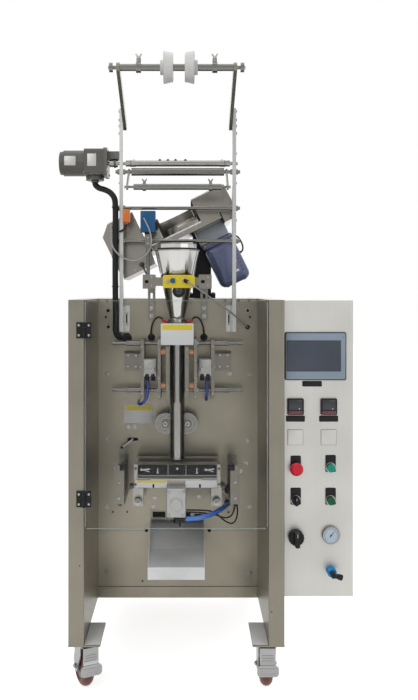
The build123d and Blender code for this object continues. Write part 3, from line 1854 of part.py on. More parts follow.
# Column: a black box section from the cabinet's top to the base plate, on a foot plate
column_low = column_x - column_width / 2
column_high = column_x + column_width / 2
column_front = feeder_depth + gearbox_width / 2 + guard_gap
with BuildPart() as feeder_column:
    outline_prism(
        at_depth(column_front + column_depth),
        [
            (column_low, cabinet_top),
            (column_high, cabinet_top),
            (column_high, under_plate(column_high)),
            (column_low, under_plate(column_low)),
        ],
        column_depth,
    )
    slab(
        at_height(cabinet_top),
        (column_low - column_foot_margin, column_front - column_foot_margin),
        (column_high + column_foot_margin, column_front + column_depth + column_foot_margin),
        column_foot_height,
        corner=sheet,
    )

# Limit switch on the left post, and the mark sensor on its rod
with BuildPart() as limit_switch:
    switch_low = cabinet_top + limit_switch_rise
    switch_right = -post_outer + frame_post_width + limit_switch_width
    slab(
        at_depth(post_front),
        (switch_right - limit_switch_width, switch_low),
        (switch_right, switch_low + limit_switch_height),
        limit_switch_depth,
        corner=sheet,
    )

with BuildPart() as mark_sensor:
    slab(
        at_height(mark_sensor_bottom),
        (mark_sensor_x - mark_sensor_width / 2, mark_rod_depth - mark_sensor_length / 2),
        (mark_sensor_x + mark_sensor_width / 2, mark_rod_depth + mark_sensor_length / 2),
        mark_sensor_height,
        corner=2 * sheet,
    )

# Leads and tubes: straight runs joined by the largest tangent arcs that the runs allow
arc_share = 0.45


def lead(frame, points, diameter):
    """Adds a round lead along a route of a frame's points, and prints its bend radii."""
    corners = [frame.from_local_coords(point) for point in points]
    radii = []
    for before, corner, after in zip(corners, corners[1:], corners[2:]):
        incoming = corner - before
        outgoing = after - corner
        turn = math.radians(incoming.get_angle(outgoing))
        radii.append(arc_share * min(incoming.length, outgoing.length) / math.tan(turn / 2))
    with BuildLine() as route:
        FilletPolyline(*corners, radius=radii)
    with BuildSketch(Plane(origin=corners[0], z_dir=corners[1] - corners[0])) as ring:
        Circle(diameter / 2)
    sweep(ring.sketch, path=route.line)
    length = sum(edge.length for edge in route.edges())
    print("diameter", diameter, "length", round(length), "bends", [round(r) for r in radii])


def moved(steps, x, depth, z):
    """The points of a route, from steps that are measured from its starting point."""
    return [(x + step[0], depth + step[1], z + step[2]) for step in steps]


# Black loom from the film motor to the panel, the limit switch's lead, the two leads of the
# vertical sealing bars, and the feeder motor's short lead
loom_x = -post_outer - loom_diameter / 2 - sheet
loom_depth = post_front - loom_diameter / 2 - sheet
terminal_z = driven_roller_z - gearhead_size / 2 - motor_terminal_height
terminal_x = gearhead_far + gearhead_length / 2
collar_z = tube_top - tube_collar_height / 2
bar_lead_x = 91.0
with BuildPart() as black_cables:
    loom_start = moved(
        [(0, 0, 0), (0, 0, -15), (14, -5, -27), (36, -13, -33), (57, -20, -45)],
        terminal_x,
        rod_depth,
        terminal_z,
    )
    loom_fall = moved(
        [(-2, 2, 0), (0, 0, -44), (-0.5, -1, -122), (-1, -1.5, -232), (-0.5, -1, -334), (1, 1, -412)],
        loom_x,
        loom_depth,
        terminal_z - 66,
    )
    loom_end = moved(
        [(-36, -46, 30), (-32, -37, 11), (-18, -24, 0.5), (0, -12, 0), (0, 0, 0)],
        lever_slot_x - loom_diameter,
        bay_depth,
        upper_seal_rod_z + loom_diameter / 2 + guard_gap,
    )
    lead(floor, loom_start + loom_fall + loom_end, loom_diameter)
    switch_steps = [(0, 0, 0), (0, 0, -10), (-5, -1, -20), (-14, -2, -27), (-25, -1, -31)]
    switch_middle = switch_right - limit_switch_width / 2
    lead(
        floor,
        moved(switch_steps, switch_middle, post_front - limit_switch_depth / 2, switch_low),
        lead_diameter,
    )
    for hand in (-1, 1):
        bar_lead = [
            (bar_lead_x, bay_depth, upper_seal_rod_z + 17),
            (bar_lead_x, bay_depth - 15, upper_seal_rod_z + 17),
            (bar_lead_x, bay_depth - 28, upper_seal_rod_z + 29),
            (bar_lead_x - 2, bay_depth - 36, upper_seal_rod_z + 52),
            (bar_lead_x - 9, bay_depth - 42, collar_z + 1),
            (bar_lead_x - 22, bay_depth - 51, collar_z + 15),
            (bar_lead_x - 36, tube_depth + 21, collar_z + 14),
            (tube_collar_diameter / 2 + 17, tube_depth + 8, collar_z + 5),
            (tube_collar_diameter / 2 + 9, tube_depth, collar_z),
            (tube_collar_diameter / 2, tube_depth, collar_z),
        ]
        lead(floor, [(tube_x + hand * x, depth, z) for x, depth, z in bar_lead], lead_diameter)
    motor_side = feeder_motor_x + feeder_motor_width / 2
    motor_steps = [
        (0, 0, 0),
        (11, 0, 0),
        (20, 0, -12),
        (23, 0, -33),
        (20, 0, -54),
        (11, 0, -66),
        (0, 0, -66),
    ]
    lead(
        tilted,
        moved(motor_steps, motor_side, -feeder_motor_nose, motor_top - feeder_motor_nose),
        lead_diameter,
    )

# Grey leads of the mark sensor and of the drop sensor
mark_front = mark_rod_depth - mark_sensor_length / 2
drop_front = drop_sensor_back - drop_sensor_length
with BuildPart() as sensor_leads:
    mark_steps = [
        (0, 0, 0),
        (0, -14, 0),
        (8, -23, -15),
        (18, -26, -36),
        (26, -26, -64),
        (26, -25, -93),
        (14, -23, -119),
        (-8, -20, -138),
        (-36, -16, -145),
        (-64, -10, -137),
        (-88, -3, -121),
        (-106, 4, -98),
        (-113, 11, -70),
        (-112, 15, -42),
    ]
    mark_points = moved(
        mark_steps,
        mark_sensor_x - mark_sensor_width / 4,
        mark_front,
        mark_sensor_bottom + mark_sensor_height * 5 / 8,
    )
    loom_side = loom_x - loom_diameter / 2 - sensor_lead_diameter / 2 - sheet
    mark_points.append((loom_side, loom_depth - 1, mark_points[-1][2] + 24))
    lead(floor, mark_points, sensor_lead_diameter)
    drop_points = moved(
        [(0, 0, 0), (0, -13, 0), (12, -19, -6), (30, -13, -19), (54, 9, -36), (94, 47, -64)],
        drop_sensor_x + drop_sensor_width / 4,
        drop_front,
        drop_middle,
    )
    drop_points += moved(
        [(-60, -83, 52), (-20, -37, 16), (0, -14, 0), (0, 0, 0)],
        panel_hole_x,
        bay_depth + sheet,
        cabinet_top - lower_hole_drop,
    )
    lead(floor, drop_points, sensor_lead_diameter)

# Blue air tubes from the sealing cylinders to the panel
cylinder_low = piston_z - cylinder_height / 2
tube_inset = 12.5
with BuildPart() as air_tubes:
    left_steps = [
        (0, 0, 0),
        (0, 0, -22),
        (1, -3, -47),
        (-3, -9, -71),
        (-14, -8, -88),
        (-26, 4, -95),
        (-33, 25, -96),
        (-34, 52, -93),
    ]
    left_points = moved(
        left_steps, -plate_face_x + tube_inset, cylinder_depth_middle - 8, cylinder_low
    )
    left_points.append((left_points[-1][0], bay_depth, left_points[-1][2]))
    lead(floor, left_points, air_tube_diameter)
    right_steps = [
        (0, 0, 0),
        (0, 0, -24),
        (1, 1, -52),
        (0, 8, -72),
        (-1, 26, -83),
        (-2, 52, -85),
    ]
    right_points = moved(
        right_steps, plate_face_x - tube_inset - sheet, cylinder_depth_middle - 8, cylinder_low
    )
    right_points.append((right_points[-1][0], bay_depth, right_points[-1][2]))
    lead(floor, right_points, air_tube_diameter)

# Blue tube and two black leads from the knife cylinder into their holes in the panel
knife_bottom = knife_top - knife_height
knife_side = knife_x + knife_width / 2
hole_back = bay_depth + panel_sheet
with BuildPart() as jaw_leads:
    tube_points = moved(
        [(0, 0, 0), (22, 0, 0), (49, 5, 1), (77, 17, 4), (101, 37, 8), (121, 61, 12), (136, 87, 14)],
        knife_x + knife_fitting_length,
        fitting_depth,
        knife_bottom - knife_fitting_height / 2 + touch,
    )
    tube_points += moved(
        [(-3, -51, 8), (0, -27, 0), (0, 0, 0)], jaw_tube_hole_x, hole_back, jaw_hole_z
    )
    lead(floor, tube_points, jaw_tube_diameter)
    first_lead = moved(
        [
            (0, 0, 0),
            (20, 0, 0),
            (48, 10, -5),
            (76, 24, -12),
            (94, 44, -21),
            (110, 60, -31),
            (125, 72, -40),
            (140, 82, -44),
            (153, 94, -41),
            (162, 108, -31),
        ],
        knife_side,
        front_jaw_near - knife_corner,
        knife_bottom + 2 * knife_corner - sheet,
    )
    first_lead += moved(
        [(-2, -32, -5), (0, -15, 0), (0, 0, 0)],
        jaw_lead_hole_x - jaw_lead_spacing / 2,
        hole_back,
        jaw_hole_z,
    )
    lead(floor, first_lead, jaw_lead_diameter)
    second_lead = moved(
        [
            (0, 0, 0),
            (21, 0, 0),
            (48, 12, -4),
            (72, 28, -10),
            (90, 47, -20),
            (105, 63, -34),
            (121, 73, -51),
            (138, 81, -66),
            (155, 88, -73),
            (167, 95, -67),
            (174, 103, -51),
        ],
        knife_side,
        front_jaw_near - knife_corner / 2,
        knife_bottom + 3 * knife_corner - sheet,
    )
    second_lead += moved(
        [(2, -39, -16), (1, -28, -4), (0, -14, 0), (0, 0, 0)],
        jaw_lead_hole_x + jaw_lead_spacing / 2,
        hole_back,
        jaw_hole_z,
    )
    lead(floor, second_lead, jaw_lead_diameter)

# Write the pieces
pieces = {
    "left_side_panel": left_side_panel,
    "right_side_panel": right_side_panel,
    "mounting_panel": mounting_panel,
    "rear_cover": rear_cover,
    "control_box": control_box,
    "panel_fittings": panel_fittings,
    "stop_button": stop_button,
    "start_button": start_button,
    "reset_button": reset_button,
    "selector_knob": selector_knob,
    "main_switch": main_switch,
    "air_valve": air_valve,
    "left_caster_fork": left_caster_fork,
    "left_caster_wheel": left_caster_wheel,
    "right_caster_fork": right_caster_fork,
    "right_caster_wheel": right_caster_wheel,
    "rear_caster_forks": rear_caster_forks,
    "rear_caster_wheels": rear_caster_wheels,
    "film_frame": film_frame,
    "cross_rods": cross_rods,
    "reel_arms": reel_arms,
    "reel_shaft": reel_shaft,
    "reel_cones": reel_cones,
    "driven_roller": driven_roller,
    "idle_roller": idle_roller,
    "dancer_arms": dancer_arms,
    "dancer_roller": dancer_roller,
    "film_motor": film_motor,
    "forming_tube": forming_tube,
    "funnel": funnel,
    "funnel_brackets": funnel_brackets,
    "drop_sensor": drop_sensor,
    "guide_rods": guide_rods,
    "seal_plates": seal_plates,
    "seal_cylinders": seal_cylinders,
    "left_seal_bar": left_seal_bar,
    "right_seal_bar": right_seal_bar,
    "left_pull_wheel": left_pull_wheel,
    "right_pull_wheel": right_pull_wheel,
    "jaw_rails": jaw_rails,
    "jaw_rods": jaw_rods,
    "front_jaw": front_jaw,
    "rear_jaw": rear_jaw,
    "knife_cylinder": knife_cylinder,
    "discharge_chute": discharge_chute,
    "door_sheet": door_sheet,
    "post_hinges": post_hinges,
    "door_hinges": door_hinges,
    "feeder_base": feeder_base,
    "feeder_disc": feeder_disc,
    "feeder_bowl": feeder_bowl,
    "feeder_hopper": feeder_hopper,
    "feeder_motor": feeder_motor,
    "feeder_column": feeder_column,
    "limit_switch": limit_switch,
    "mark_sensor": mark_sensor,
    "black_cables": black_cables,
    "sensor_leads": sensor_leads,
    "air_tubes": air_tubes,
    "jaw_leads": jaw_leads,
}
for name, piece in pieces.items():
    piece.part.label = name
    export_step(piece.part, f"parts/{name}.step")
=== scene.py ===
"""Looks of a tablet packaging machine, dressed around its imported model.

Sizes are in millimetres from the cabinet's datum: x is 0 on the cabinet's centreline, depth is 0
on the front of its posts, and z is 0 on the floor. A Shape turns them into the model's metres.
"""

import json
import logging
import math
from dataclasses import dataclass, field
from enum import Enum
from itertools import product
from typing import Iterable, Iterator, Optional, Sequence

import bmesh
import bpy
from mathutils import Matrix, Vector

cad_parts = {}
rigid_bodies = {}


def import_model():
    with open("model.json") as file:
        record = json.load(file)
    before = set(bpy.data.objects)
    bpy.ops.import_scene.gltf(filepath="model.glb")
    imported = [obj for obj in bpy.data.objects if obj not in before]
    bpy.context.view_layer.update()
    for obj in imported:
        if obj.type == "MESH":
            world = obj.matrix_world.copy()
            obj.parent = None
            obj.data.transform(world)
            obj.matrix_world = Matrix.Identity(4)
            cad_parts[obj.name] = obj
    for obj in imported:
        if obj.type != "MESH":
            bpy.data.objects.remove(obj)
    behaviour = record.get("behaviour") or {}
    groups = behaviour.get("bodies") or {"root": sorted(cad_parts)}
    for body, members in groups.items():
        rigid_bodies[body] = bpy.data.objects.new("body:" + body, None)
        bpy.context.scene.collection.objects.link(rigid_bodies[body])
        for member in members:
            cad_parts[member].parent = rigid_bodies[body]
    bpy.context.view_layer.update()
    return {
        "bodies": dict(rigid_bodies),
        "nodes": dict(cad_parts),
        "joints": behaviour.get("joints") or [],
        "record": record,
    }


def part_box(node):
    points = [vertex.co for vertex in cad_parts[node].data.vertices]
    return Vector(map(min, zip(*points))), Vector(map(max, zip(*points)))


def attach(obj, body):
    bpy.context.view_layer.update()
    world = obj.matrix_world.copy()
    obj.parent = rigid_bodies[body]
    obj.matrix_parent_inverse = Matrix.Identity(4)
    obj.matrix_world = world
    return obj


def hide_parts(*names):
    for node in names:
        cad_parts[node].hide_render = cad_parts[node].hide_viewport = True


Point = tuple[float, float, float]
Pair = tuple[float, float]
Colour = tuple[float, float, float]
Socket = bpy.types.NodeSocket

log = logging.getLogger("machine")

MILLIMETRE = 0.001
FRONT = (0.0, -1.0, 0.0)
BACK = (0.0, 1.0, 0.0)
UP = (0.0, 0.0, 1.0)
DOWN = (0.0, 0.0, -1.0)
RIGHT = (1.0, 0.0, 0.0)
LEFT = (-1.0, 0.0, 0.0)
SIDES = (-1, 1)
SHARP_ANGLE = math.radians(32)

# Sockets of a Mix node that mixes colours
MIX_FIRST, MIX_SECOND, MIX_RESULT = 6, 7, 2


def grid(xs: Iterable[float], depths: Iterable[float], zs: Iterable[float]) -> Iterator[Point]:
    """Returns every point of a grid."""
    return product(xs, depths, zs)


def moved(steps: Sequence[Point], x: float, depth: float, z: float) -> list[Point]:
    """Returns route points from steps that are measured from a starting point."""
    return [(x + a, depth + b, z + c) for a, b, c in steps]


@dataclass
class Wiring:
    """Adds nodes to a shader tree and links them."""

    tree: bpy.types.ShaderNodeTree

    def node(
        self, kind: str, values: Optional[dict[str, object]] = None, **settings: str
    ) -> bpy.types.Node:
        """Adds a node.

        Args:
            kind: the node's type, without the word ShaderNode.
            values: values for its inputs, by name.
            settings: its settings, by name.

        Returns:
            The node.
        """
        made = self.tree.nodes.new(f"ShaderNode{kind}")
        for name, setting in settings.items():
            setattr(made, name, setting)
        for name, value in (values or {}).items():
            made.inputs[name].default_value = value
        return made

    def link(self, output: Socket, target: Socket) -> None:
        """Links an output to an input."""
        self.tree.links.new(output, target)

    def texture(
        self, kind: str, place: Socket, values: dict[str, object], **settings: str
    ) -> Socket:
        """Adds a texture.

        Args:
            kind: the texture node's type.
            place: the coordinates that it reads.
            values: values for its inputs, by name.
            settings: its settings, by name.

        Returns:
            The texture's factor.
        """
        made = self.node(kind, values, **settings)
        self.link(place, made.inputs["Vector"])
        return made.outputs["Fac"]

    def mapped(
        self, value: Socket, low: float, high: float, start: float = 0.0, end: float = 1.0
    ) -> Socket:
        """Maps a value from one range to another.

        Args:
            value: the value.
            low: what the start becomes.
            high: what the end becomes.
            start: where the value's range starts.
            end: where the value's range ends.

        Returns:
            The mapped value.
        """
        limits = {"From Min": start, "From Max": end, "To Min": low, "To Max": high}
        made = self.node("MapRange", limits)
        self.link(value, made.inputs["Value"])
        return made.outputs["Result"]

    def maths(self, operation: str, first: Socket, second: Socket) -> Socket:
        """Adds an operation on two values.

        Args:
            operation: the Math node's operation.
            first: the first value.
            second: the second value.

        Returns:
            The result.
        """
        made = self.node("Math", operation=operation)
        self.link(first, made.inputs[0])
        self.link(second, made.inputs[1])
        return made.outputs["Value"]

    def seen(self) -> Socket:
        """Returns 1 for camera, transmission and glossy rays, and 0 for others."""
        path = self.node("LightPath").outputs
        through = self.maths("MAXIMUM", path["Is Camera Ray"], path["Is Transmission Ray"])
        return self.maths("MAXIMUM", through, path["Is Glossy Ray"])


class Grain(Enum):
    """The pattern that a finish carries, as the stretch of its noise along x, y and z."""

    UPRIGHT = (260.0, 260.0, 3.0)
    ACROSS = (3.0, 260.0, 260.0)
    EVEN = (220.0, 220.0, 220.0)
    FINE = (900.0, 900.0, 900.0)


@dataclass(frozen=True)
class Finish:
    """A surface finish: its colour, gloss, grain, bump, clouding and worn edges."""

    name: str
    colour: Colour
    metallic: float = 0.0
    roughness: float = 0.4
    grain: Grain = Grain.EVEN
    bump: float = 0.05
    spread: float = 0.06
    rough_spread: float = 0.08
    cloud: float = 0.08
    wear: float = 0.0
    coat: float = 0.0
    alpha: float = 1.0
    ring_pitch: float = 0.0
    specular: float = 0.5

    def material(self) -> bpy.types.Material:
        """Returns the finish's material, made once."""
        return bpy.data.materials.get(f"{self.name}_look") or self._build()

    def _build(self) -> bpy.types.Material:
        """Makes the node tree: grain, clouds and wear feed colour, roughness and bump."""
        material = bpy.data.materials.new(f"{self.name}_look")
        material.use_nodes = True
        wiring = Wiring(material.node_tree)
        shader = material.node_tree.nodes["Principled BSDF"].inputs
        shader["Metallic"].default_value = self.metallic
        shader["Coat Weight"].default_value = self.coat
        shader["Specular IOR Level"].default_value = self.specular
        shader["Alpha"].default_value = self.alpha
        place = wiring.node("TexCoord").outputs["Object"]
        stretch = wiring.node("Mapping", {"Scale": self.grain.value})
        wiring.link(place, stretch.inputs["Vector"])
        fine = {"Scale": 1.0, "Detail": 4.0, "Roughness": 0.65}
        grain = wiring.texture("TexNoise", stretch.outputs["Vector"], fine)
        height = grain
        if self.ring_pitch:
            ribs = {"Scale": math.tau / (20 * self.ring_pitch * MILLIMETRE), "Distortion": 0.4}
            height = wiring.texture("TexWave", place, ribs, bands_direction="Z")
        clouds = wiring.texture("TexNoise", place, {"Scale": 3.5, "Detail": 3.0})
        amount = wiring.mapped(grain, 1 - self.spread, 1 + self.spread)
        shade = wiring.mapped(clouds, 1 - self.cloud, 1 + self.cloud, 0.3, 0.7)
        tint = wiring.node("Mix", {"Factor": 1.0}, data_type="RGBA", blend_type="MULTIPLY")
        tint.inputs[MIX_FIRST].default_value = (*self.colour, 1.0)
        wiring.link(wiring.maths("MULTIPLY", amount, shade), tint.inputs[MIX_SECOND])
        colour = tint.outputs[MIX_RESULT]
        wiring.link(self._worn(wiring, colour) if self.wear else colour, shader["Base Color"])
        smoothest = max(0.02, self.roughness - self.rough_spread)
        roughest = min(1.0, self.roughness + self.rough_spread)
        wiring.link(wiring.mapped(grain, smoothest, roughest), shader["Roughness"])
        relief = wiring.node("Bump", {"Strength": self.bump, "Distance": MILLIMETRE})
        wiring.link(height, relief.inputs["Height"])
        wiring.link(relief.outputs["Normal"], shader["Normal"])
        return material

    def _worn(self, wiring: Wiring, colour: Socket) -> Socket:
        """Lightens the colour along convex edges.

        Args:
            wiring: the material's nodes.
            colour: the colour before wear.

        Returns:
            The colour with its worn edges.
        """
        edge = wiring.node("NewGeometry").outputs["Pointiness"]
        mixer = wiring.node("Mix", data_type="RGBA")
        mixer.inputs[MIX_SECOND].default_value = (0.5, 0.5, 0.48, 1.0)
        wiring.link(wiring.mapped(edge, 0.0, self.wear, 0.52, 0.62), mixer.inputs["Factor"])
        wiring.link(colour, mixer.inputs[MIX_FIRST])
        return mixer.outputs[MIX_RESULT]


# Unnamed values follow the fields' order: metallic, roughness, grain, bump, spread, rough_spread,
# cloud
POST_STEEL = Finish(
    "post_steel", (0.205, 0.190, 0.152), 0.85, 0.36, Grain.UPRIGHT, 0.10, 0.10, 0.10, 0.12
)
PANEL_STEEL = Finish(
    "panel_steel", (0.245, 0.226, 0.178), 0.85, 0.34, Grain.UPRIGHT, 0.08, 0.07, 0.08, 0.20
)
BOX_STEEL = Finish(
    "box_steel", (0.475, 0.470, 0.445), 0.8, 0.42, Grain.UPRIGHT, 0.10, 0.06, 0.08, 0.09
)
BRIGHT_SHEET = Finish(
    "bright_sheet", (0.74, 0.75, 0.76), 0.2, 0.36, Grain.ACROSS, 0.08, 0.06, 0.08, 0.22
)
POLISHED = Finish("polished", (0.28, 0.275, 0.26), 1.0, 0.17, Grain.EVEN, 0.02, 0.03, 0.04, 0.05)
FUNNEL_STEEL = Finish(
    "funnel_steel", (0.50, 0.495, 0.475), 1.0, 0.13, Grain.EVEN, 0.02, 0.03, 0.05, 0.08
)
FRAME_STEEL = Finish(
    "frame_steel", (0.42, 0.42, 0.41), 0.9, 0.28, Grain.UPRIGHT, 0.06, 0.08, 0.08, 0.12
)
GROUND_STEEL = Finish(
    "ground_steel", (0.185, 0.175, 0.150), 0.9, 0.34, Grain.UPRIGHT, 0.08, 0.10, 0.08, 0.12
)
JAW_STEEL = Finish("jaw_steel", (0.30, 0.29, 0.265), 0.9, 0.30, Grain.ACROSS, 0.06, 0.08, 0.08, 0.1)
ROD_STEEL = Finish(
    "rod_steel", (0.165, 0.162, 0.150), 1.0, 0.18, Grain.ACROSS, 0.04, 0.05, 0.06, 0.05
)
ALUMINIUM = Finish("aluminium", (0.42, 0.42, 0.41), 0.5, 0.42, Grain.EVEN, 0.12, 0.06, 0.06, 0.08)
TURNED_FACE = Finish(
    "turned_face", (0.27, 0.265, 0.25), 1.0, 0.28, Grain.EVEN, 0.06, 0.10, 0.10, 0.10
)
WHEEL_STEEL = Finish(
    "wheel_steel", (0.165, 0.162, 0.150), 1.0, 0.30, Grain.EVEN, 0.06, 0.10, 0.10, 0.10
)
FEEDER_STEEL = Finish(
    "feeder_steel", (0.235, 0.222, 0.195), 0.85, 0.24, Grain.ACROSS, 0.05, 0.05, 0.06, 0.09
)
GEARBOX_GREY = Finish(
    "gearbox_grey", (0.245, 0.265, 0.305), 0.2, 0.45, Grain.EVEN, 0.12, 0.05, 0.06, 0.06, wear=0.3
)
BOLT_STEEL = Finish("bolt_steel", (0.30, 0.30, 0.29), 1.0, 0.20, Grain.EVEN, 0.03, 0.06, 0.06, 0.05)
DARK_STEEL = Finish(
    "dark_steel", (0.035, 0.035, 0.034), 0.6, 0.40, Grain.EVEN, 0.08, 0.10, 0.08, wear=0.2
)
BLACK_PAINT = Finish(
    "black_paint", (0.009, 0.009, 0.010), 0.0, 0.32, Grain.EVEN, 0.06, 0.12, 0.08, 0.10, specular=0.2
)
BLACK_PLASTIC = Finish(
    "black_plastic", (0.009, 0.009, 0.010), 0.0, 0.36, Grain.FINE, 0.08, 0.12, specular=0.2
)
BLACK_CABLE = Finish(
    "black_cable", (0.008, 0.008, 0.009), 0.0, 0.5, Grain.FINE, 0.1, 0.15, specular=0.2
)
LOOM_SLEEVE = Finish(
    "loom_sleeve", (0.008, 0.008, 0.009), 0.0, 0.5, Grain.FINE, 0.2, 0.15, ring_pitch=5.0, specular=0.2
)
GREY_CABLE = Finish("grey_cable", (0.30, 0.31, 0.32), 0.0, 0.40, Grain.FINE, 0.06)
BLUE_HOSE = Finish(
    "blue_hose", (0.060, 0.210, 0.72), 0.0, 0.22, Grain.EVEN, 0.02, 0.06, 0.05, 0.10, coat=0.3
)
VIOLET_HOSE = Finish(
    "violet_hose", (0.030, 0.060, 0.36), 0.0, 0.24, Grain.EVEN, 0.02, 0.08, 0.05, 0.10, coat=0.3
)
MOTOR_GREY = Finish(
    "motor_grey", (0.062, 0.059, 0.050), 0.1, 0.42, Grain.EVEN, 0.14, 0.08, 0.08, 0.10, wear=0.15
)
MOTOR_VIOLET = Finish(
    "motor_violet", (0.085, 0.108, 0.215), 0.0, 0.33, Grain.EVEN, 0.08, 0.06, 0.06, coat=0.2
)
ORANGE_PLASTIC = Finish("orange_plastic", (0.62, 0.16, 0.014), 0.0, 0.36, Grain.FINE, 0.08)
BLUE_PLASTIC = Finish(
    "blue_plastic", (0.010, 0.085, 0.215), 0.0, 0.34, Grain.FINE, 0.08, specular=0.3
)
YELLOW_PLASTIC = Finish("yellow_plastic", (0.68, 0.53, 0.010), 0.0, 0.32, Grain.FINE, 0.06)
WHITE_PLASTIC = Finish("white_plastic", (0.60, 0.595, 0.58), 0.0, 0.42, Grain.FINE, 0.08, 0.03)
RED_PLASTIC = Finish("red_plastic", (0.56, 0.008, 0.028), 0.0, 0.26, Grain.FINE, 0.03, specular=0.3)
GREEN_PLASTIC = Finish(
    "green_plastic", (0.004, 0.26, 0.18), 0.0, 0.26, Grain.FINE, 0.03, specular=0.25
)
DEEP_GREEN = Finish(
    "deep_green", (0.002, 0.085, 0.030), 0.0, 0.28, Grain.FINE, 0.03, specular=0.25
)
VALVE_BLUE = Finish("valve_blue", (0.004, 0.20, 0.42), 0.5, 0.25, Grain.EVEN, 0.04)
ZINC = Finish("zinc", (0.33, 0.335, 0.33), 0.75, 0.32, Grain.EVEN, 0.08, 0.08, 0.10, 0.16, wear=0.15)
TREAD = Finish("tread", (0.125, 0.030, 0.018), 0.0, 0.50, Grain.EVEN, 0.20, 0.12, 0.08, 0.16)
HUB_GREY = Finish("hub_grey", (0.24, 0.23, 0.22), 0.0, 0.5, Grain.EVEN, 0.10, 0.08)
BEZEL_BLUE = Finish("bezel_blue", (0.225, 0.280, 0.350), 0.0, 0.38, Grain.FINE, 0.05, 0.05)
FRAME_DARK = Finish("frame_dark", (0.020, 0.026, 0.040), 0.0, 0.30, Grain.FINE, 0.05)
SCREEN_GLASS = Finish(
    "screen_glass", (0.034, 0.045, 0.070), 0.0, 0.14, Grain.EVEN, 0.0, 0.04, 0.02, 0.35
)
DISPLAY = Finish("display", (0.012, 0.016, 0.024), 0.0, 0.14, Grain.EVEN, 0.0, 0.04, 0.02)
DISPLAY_RED = Finish("display_red", (0.28, 0.012, 0.035), 0.0, 0.3, Grain.FINE, 0.04)
DIAL_WHITE = Finish("dial_white", (0.47, 0.55, 0.65), 0.0, 0.35, Grain.FINE, 0.02, 0.02)
CARD_WHITE = Finish("card_white", (0.70, 0.71, 0.72), 0.0, 0.38, Grain.FINE, 0.03, 0.02, 0.05, 0.04)
CARD_YELLOW = Finish("card_yellow", (0.74, 0.60, 0.02), 0.0, 0.40, Grain.FINE, 0.03, 0.04)
COPPER_ORANGE = Finish("copper_orange", (0.45, 0.20, 0.09), 0.3, 0.42, Grain.EVEN, 0.06)
CREAM = Finish("cream_insulation", (0.62, 0.58, 0.47), 0.0, 0.55, Grain.EVEN, 0.15)
CLEAR = Finish(
    "clear_sheet", (0.10, 0.11, 0.11), 0.0, 0.05, Grain.EVEN, 0.0, 0.02, 0.02, 0.02, alpha=0.035
)
CLEAR_EDGE = Finish("clear_edge", (0.38, 0.44, 0.42), 0.0, 0.18, Grain.FINE, 0.02, alpha=0.6)
HOLE_DARK = Finish("hole_dark", (0.005, 0.005, 0.005), 0.0, 0.8, Grain.FINE, specular=0.1)
SEAM_BROWN = Finish("seam_brown", (0.090, 0.082, 0.066), 0.3, 0.5, Grain.FINE)


@dataclass
class Datum:
    """The cabinet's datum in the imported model, read from two of its nodes."""

    x: float
    y: float

    @classmethod
    def measured(cls) -> "Datum":
        """Reads the datum from the mounting panel's middle and the left wall's front."""
        low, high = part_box("mounting_panel")
        wall_low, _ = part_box("left_side_panel")
        return cls(x=(low.x + high.x) / 2, y=wall_low.y)

    def place(self, point: Point) -> Vector:
        """Returns a datum point in the model's metres."""
        return Vector(point) * MILLIMETRE + Vector((self.x, self.y, 0.0))


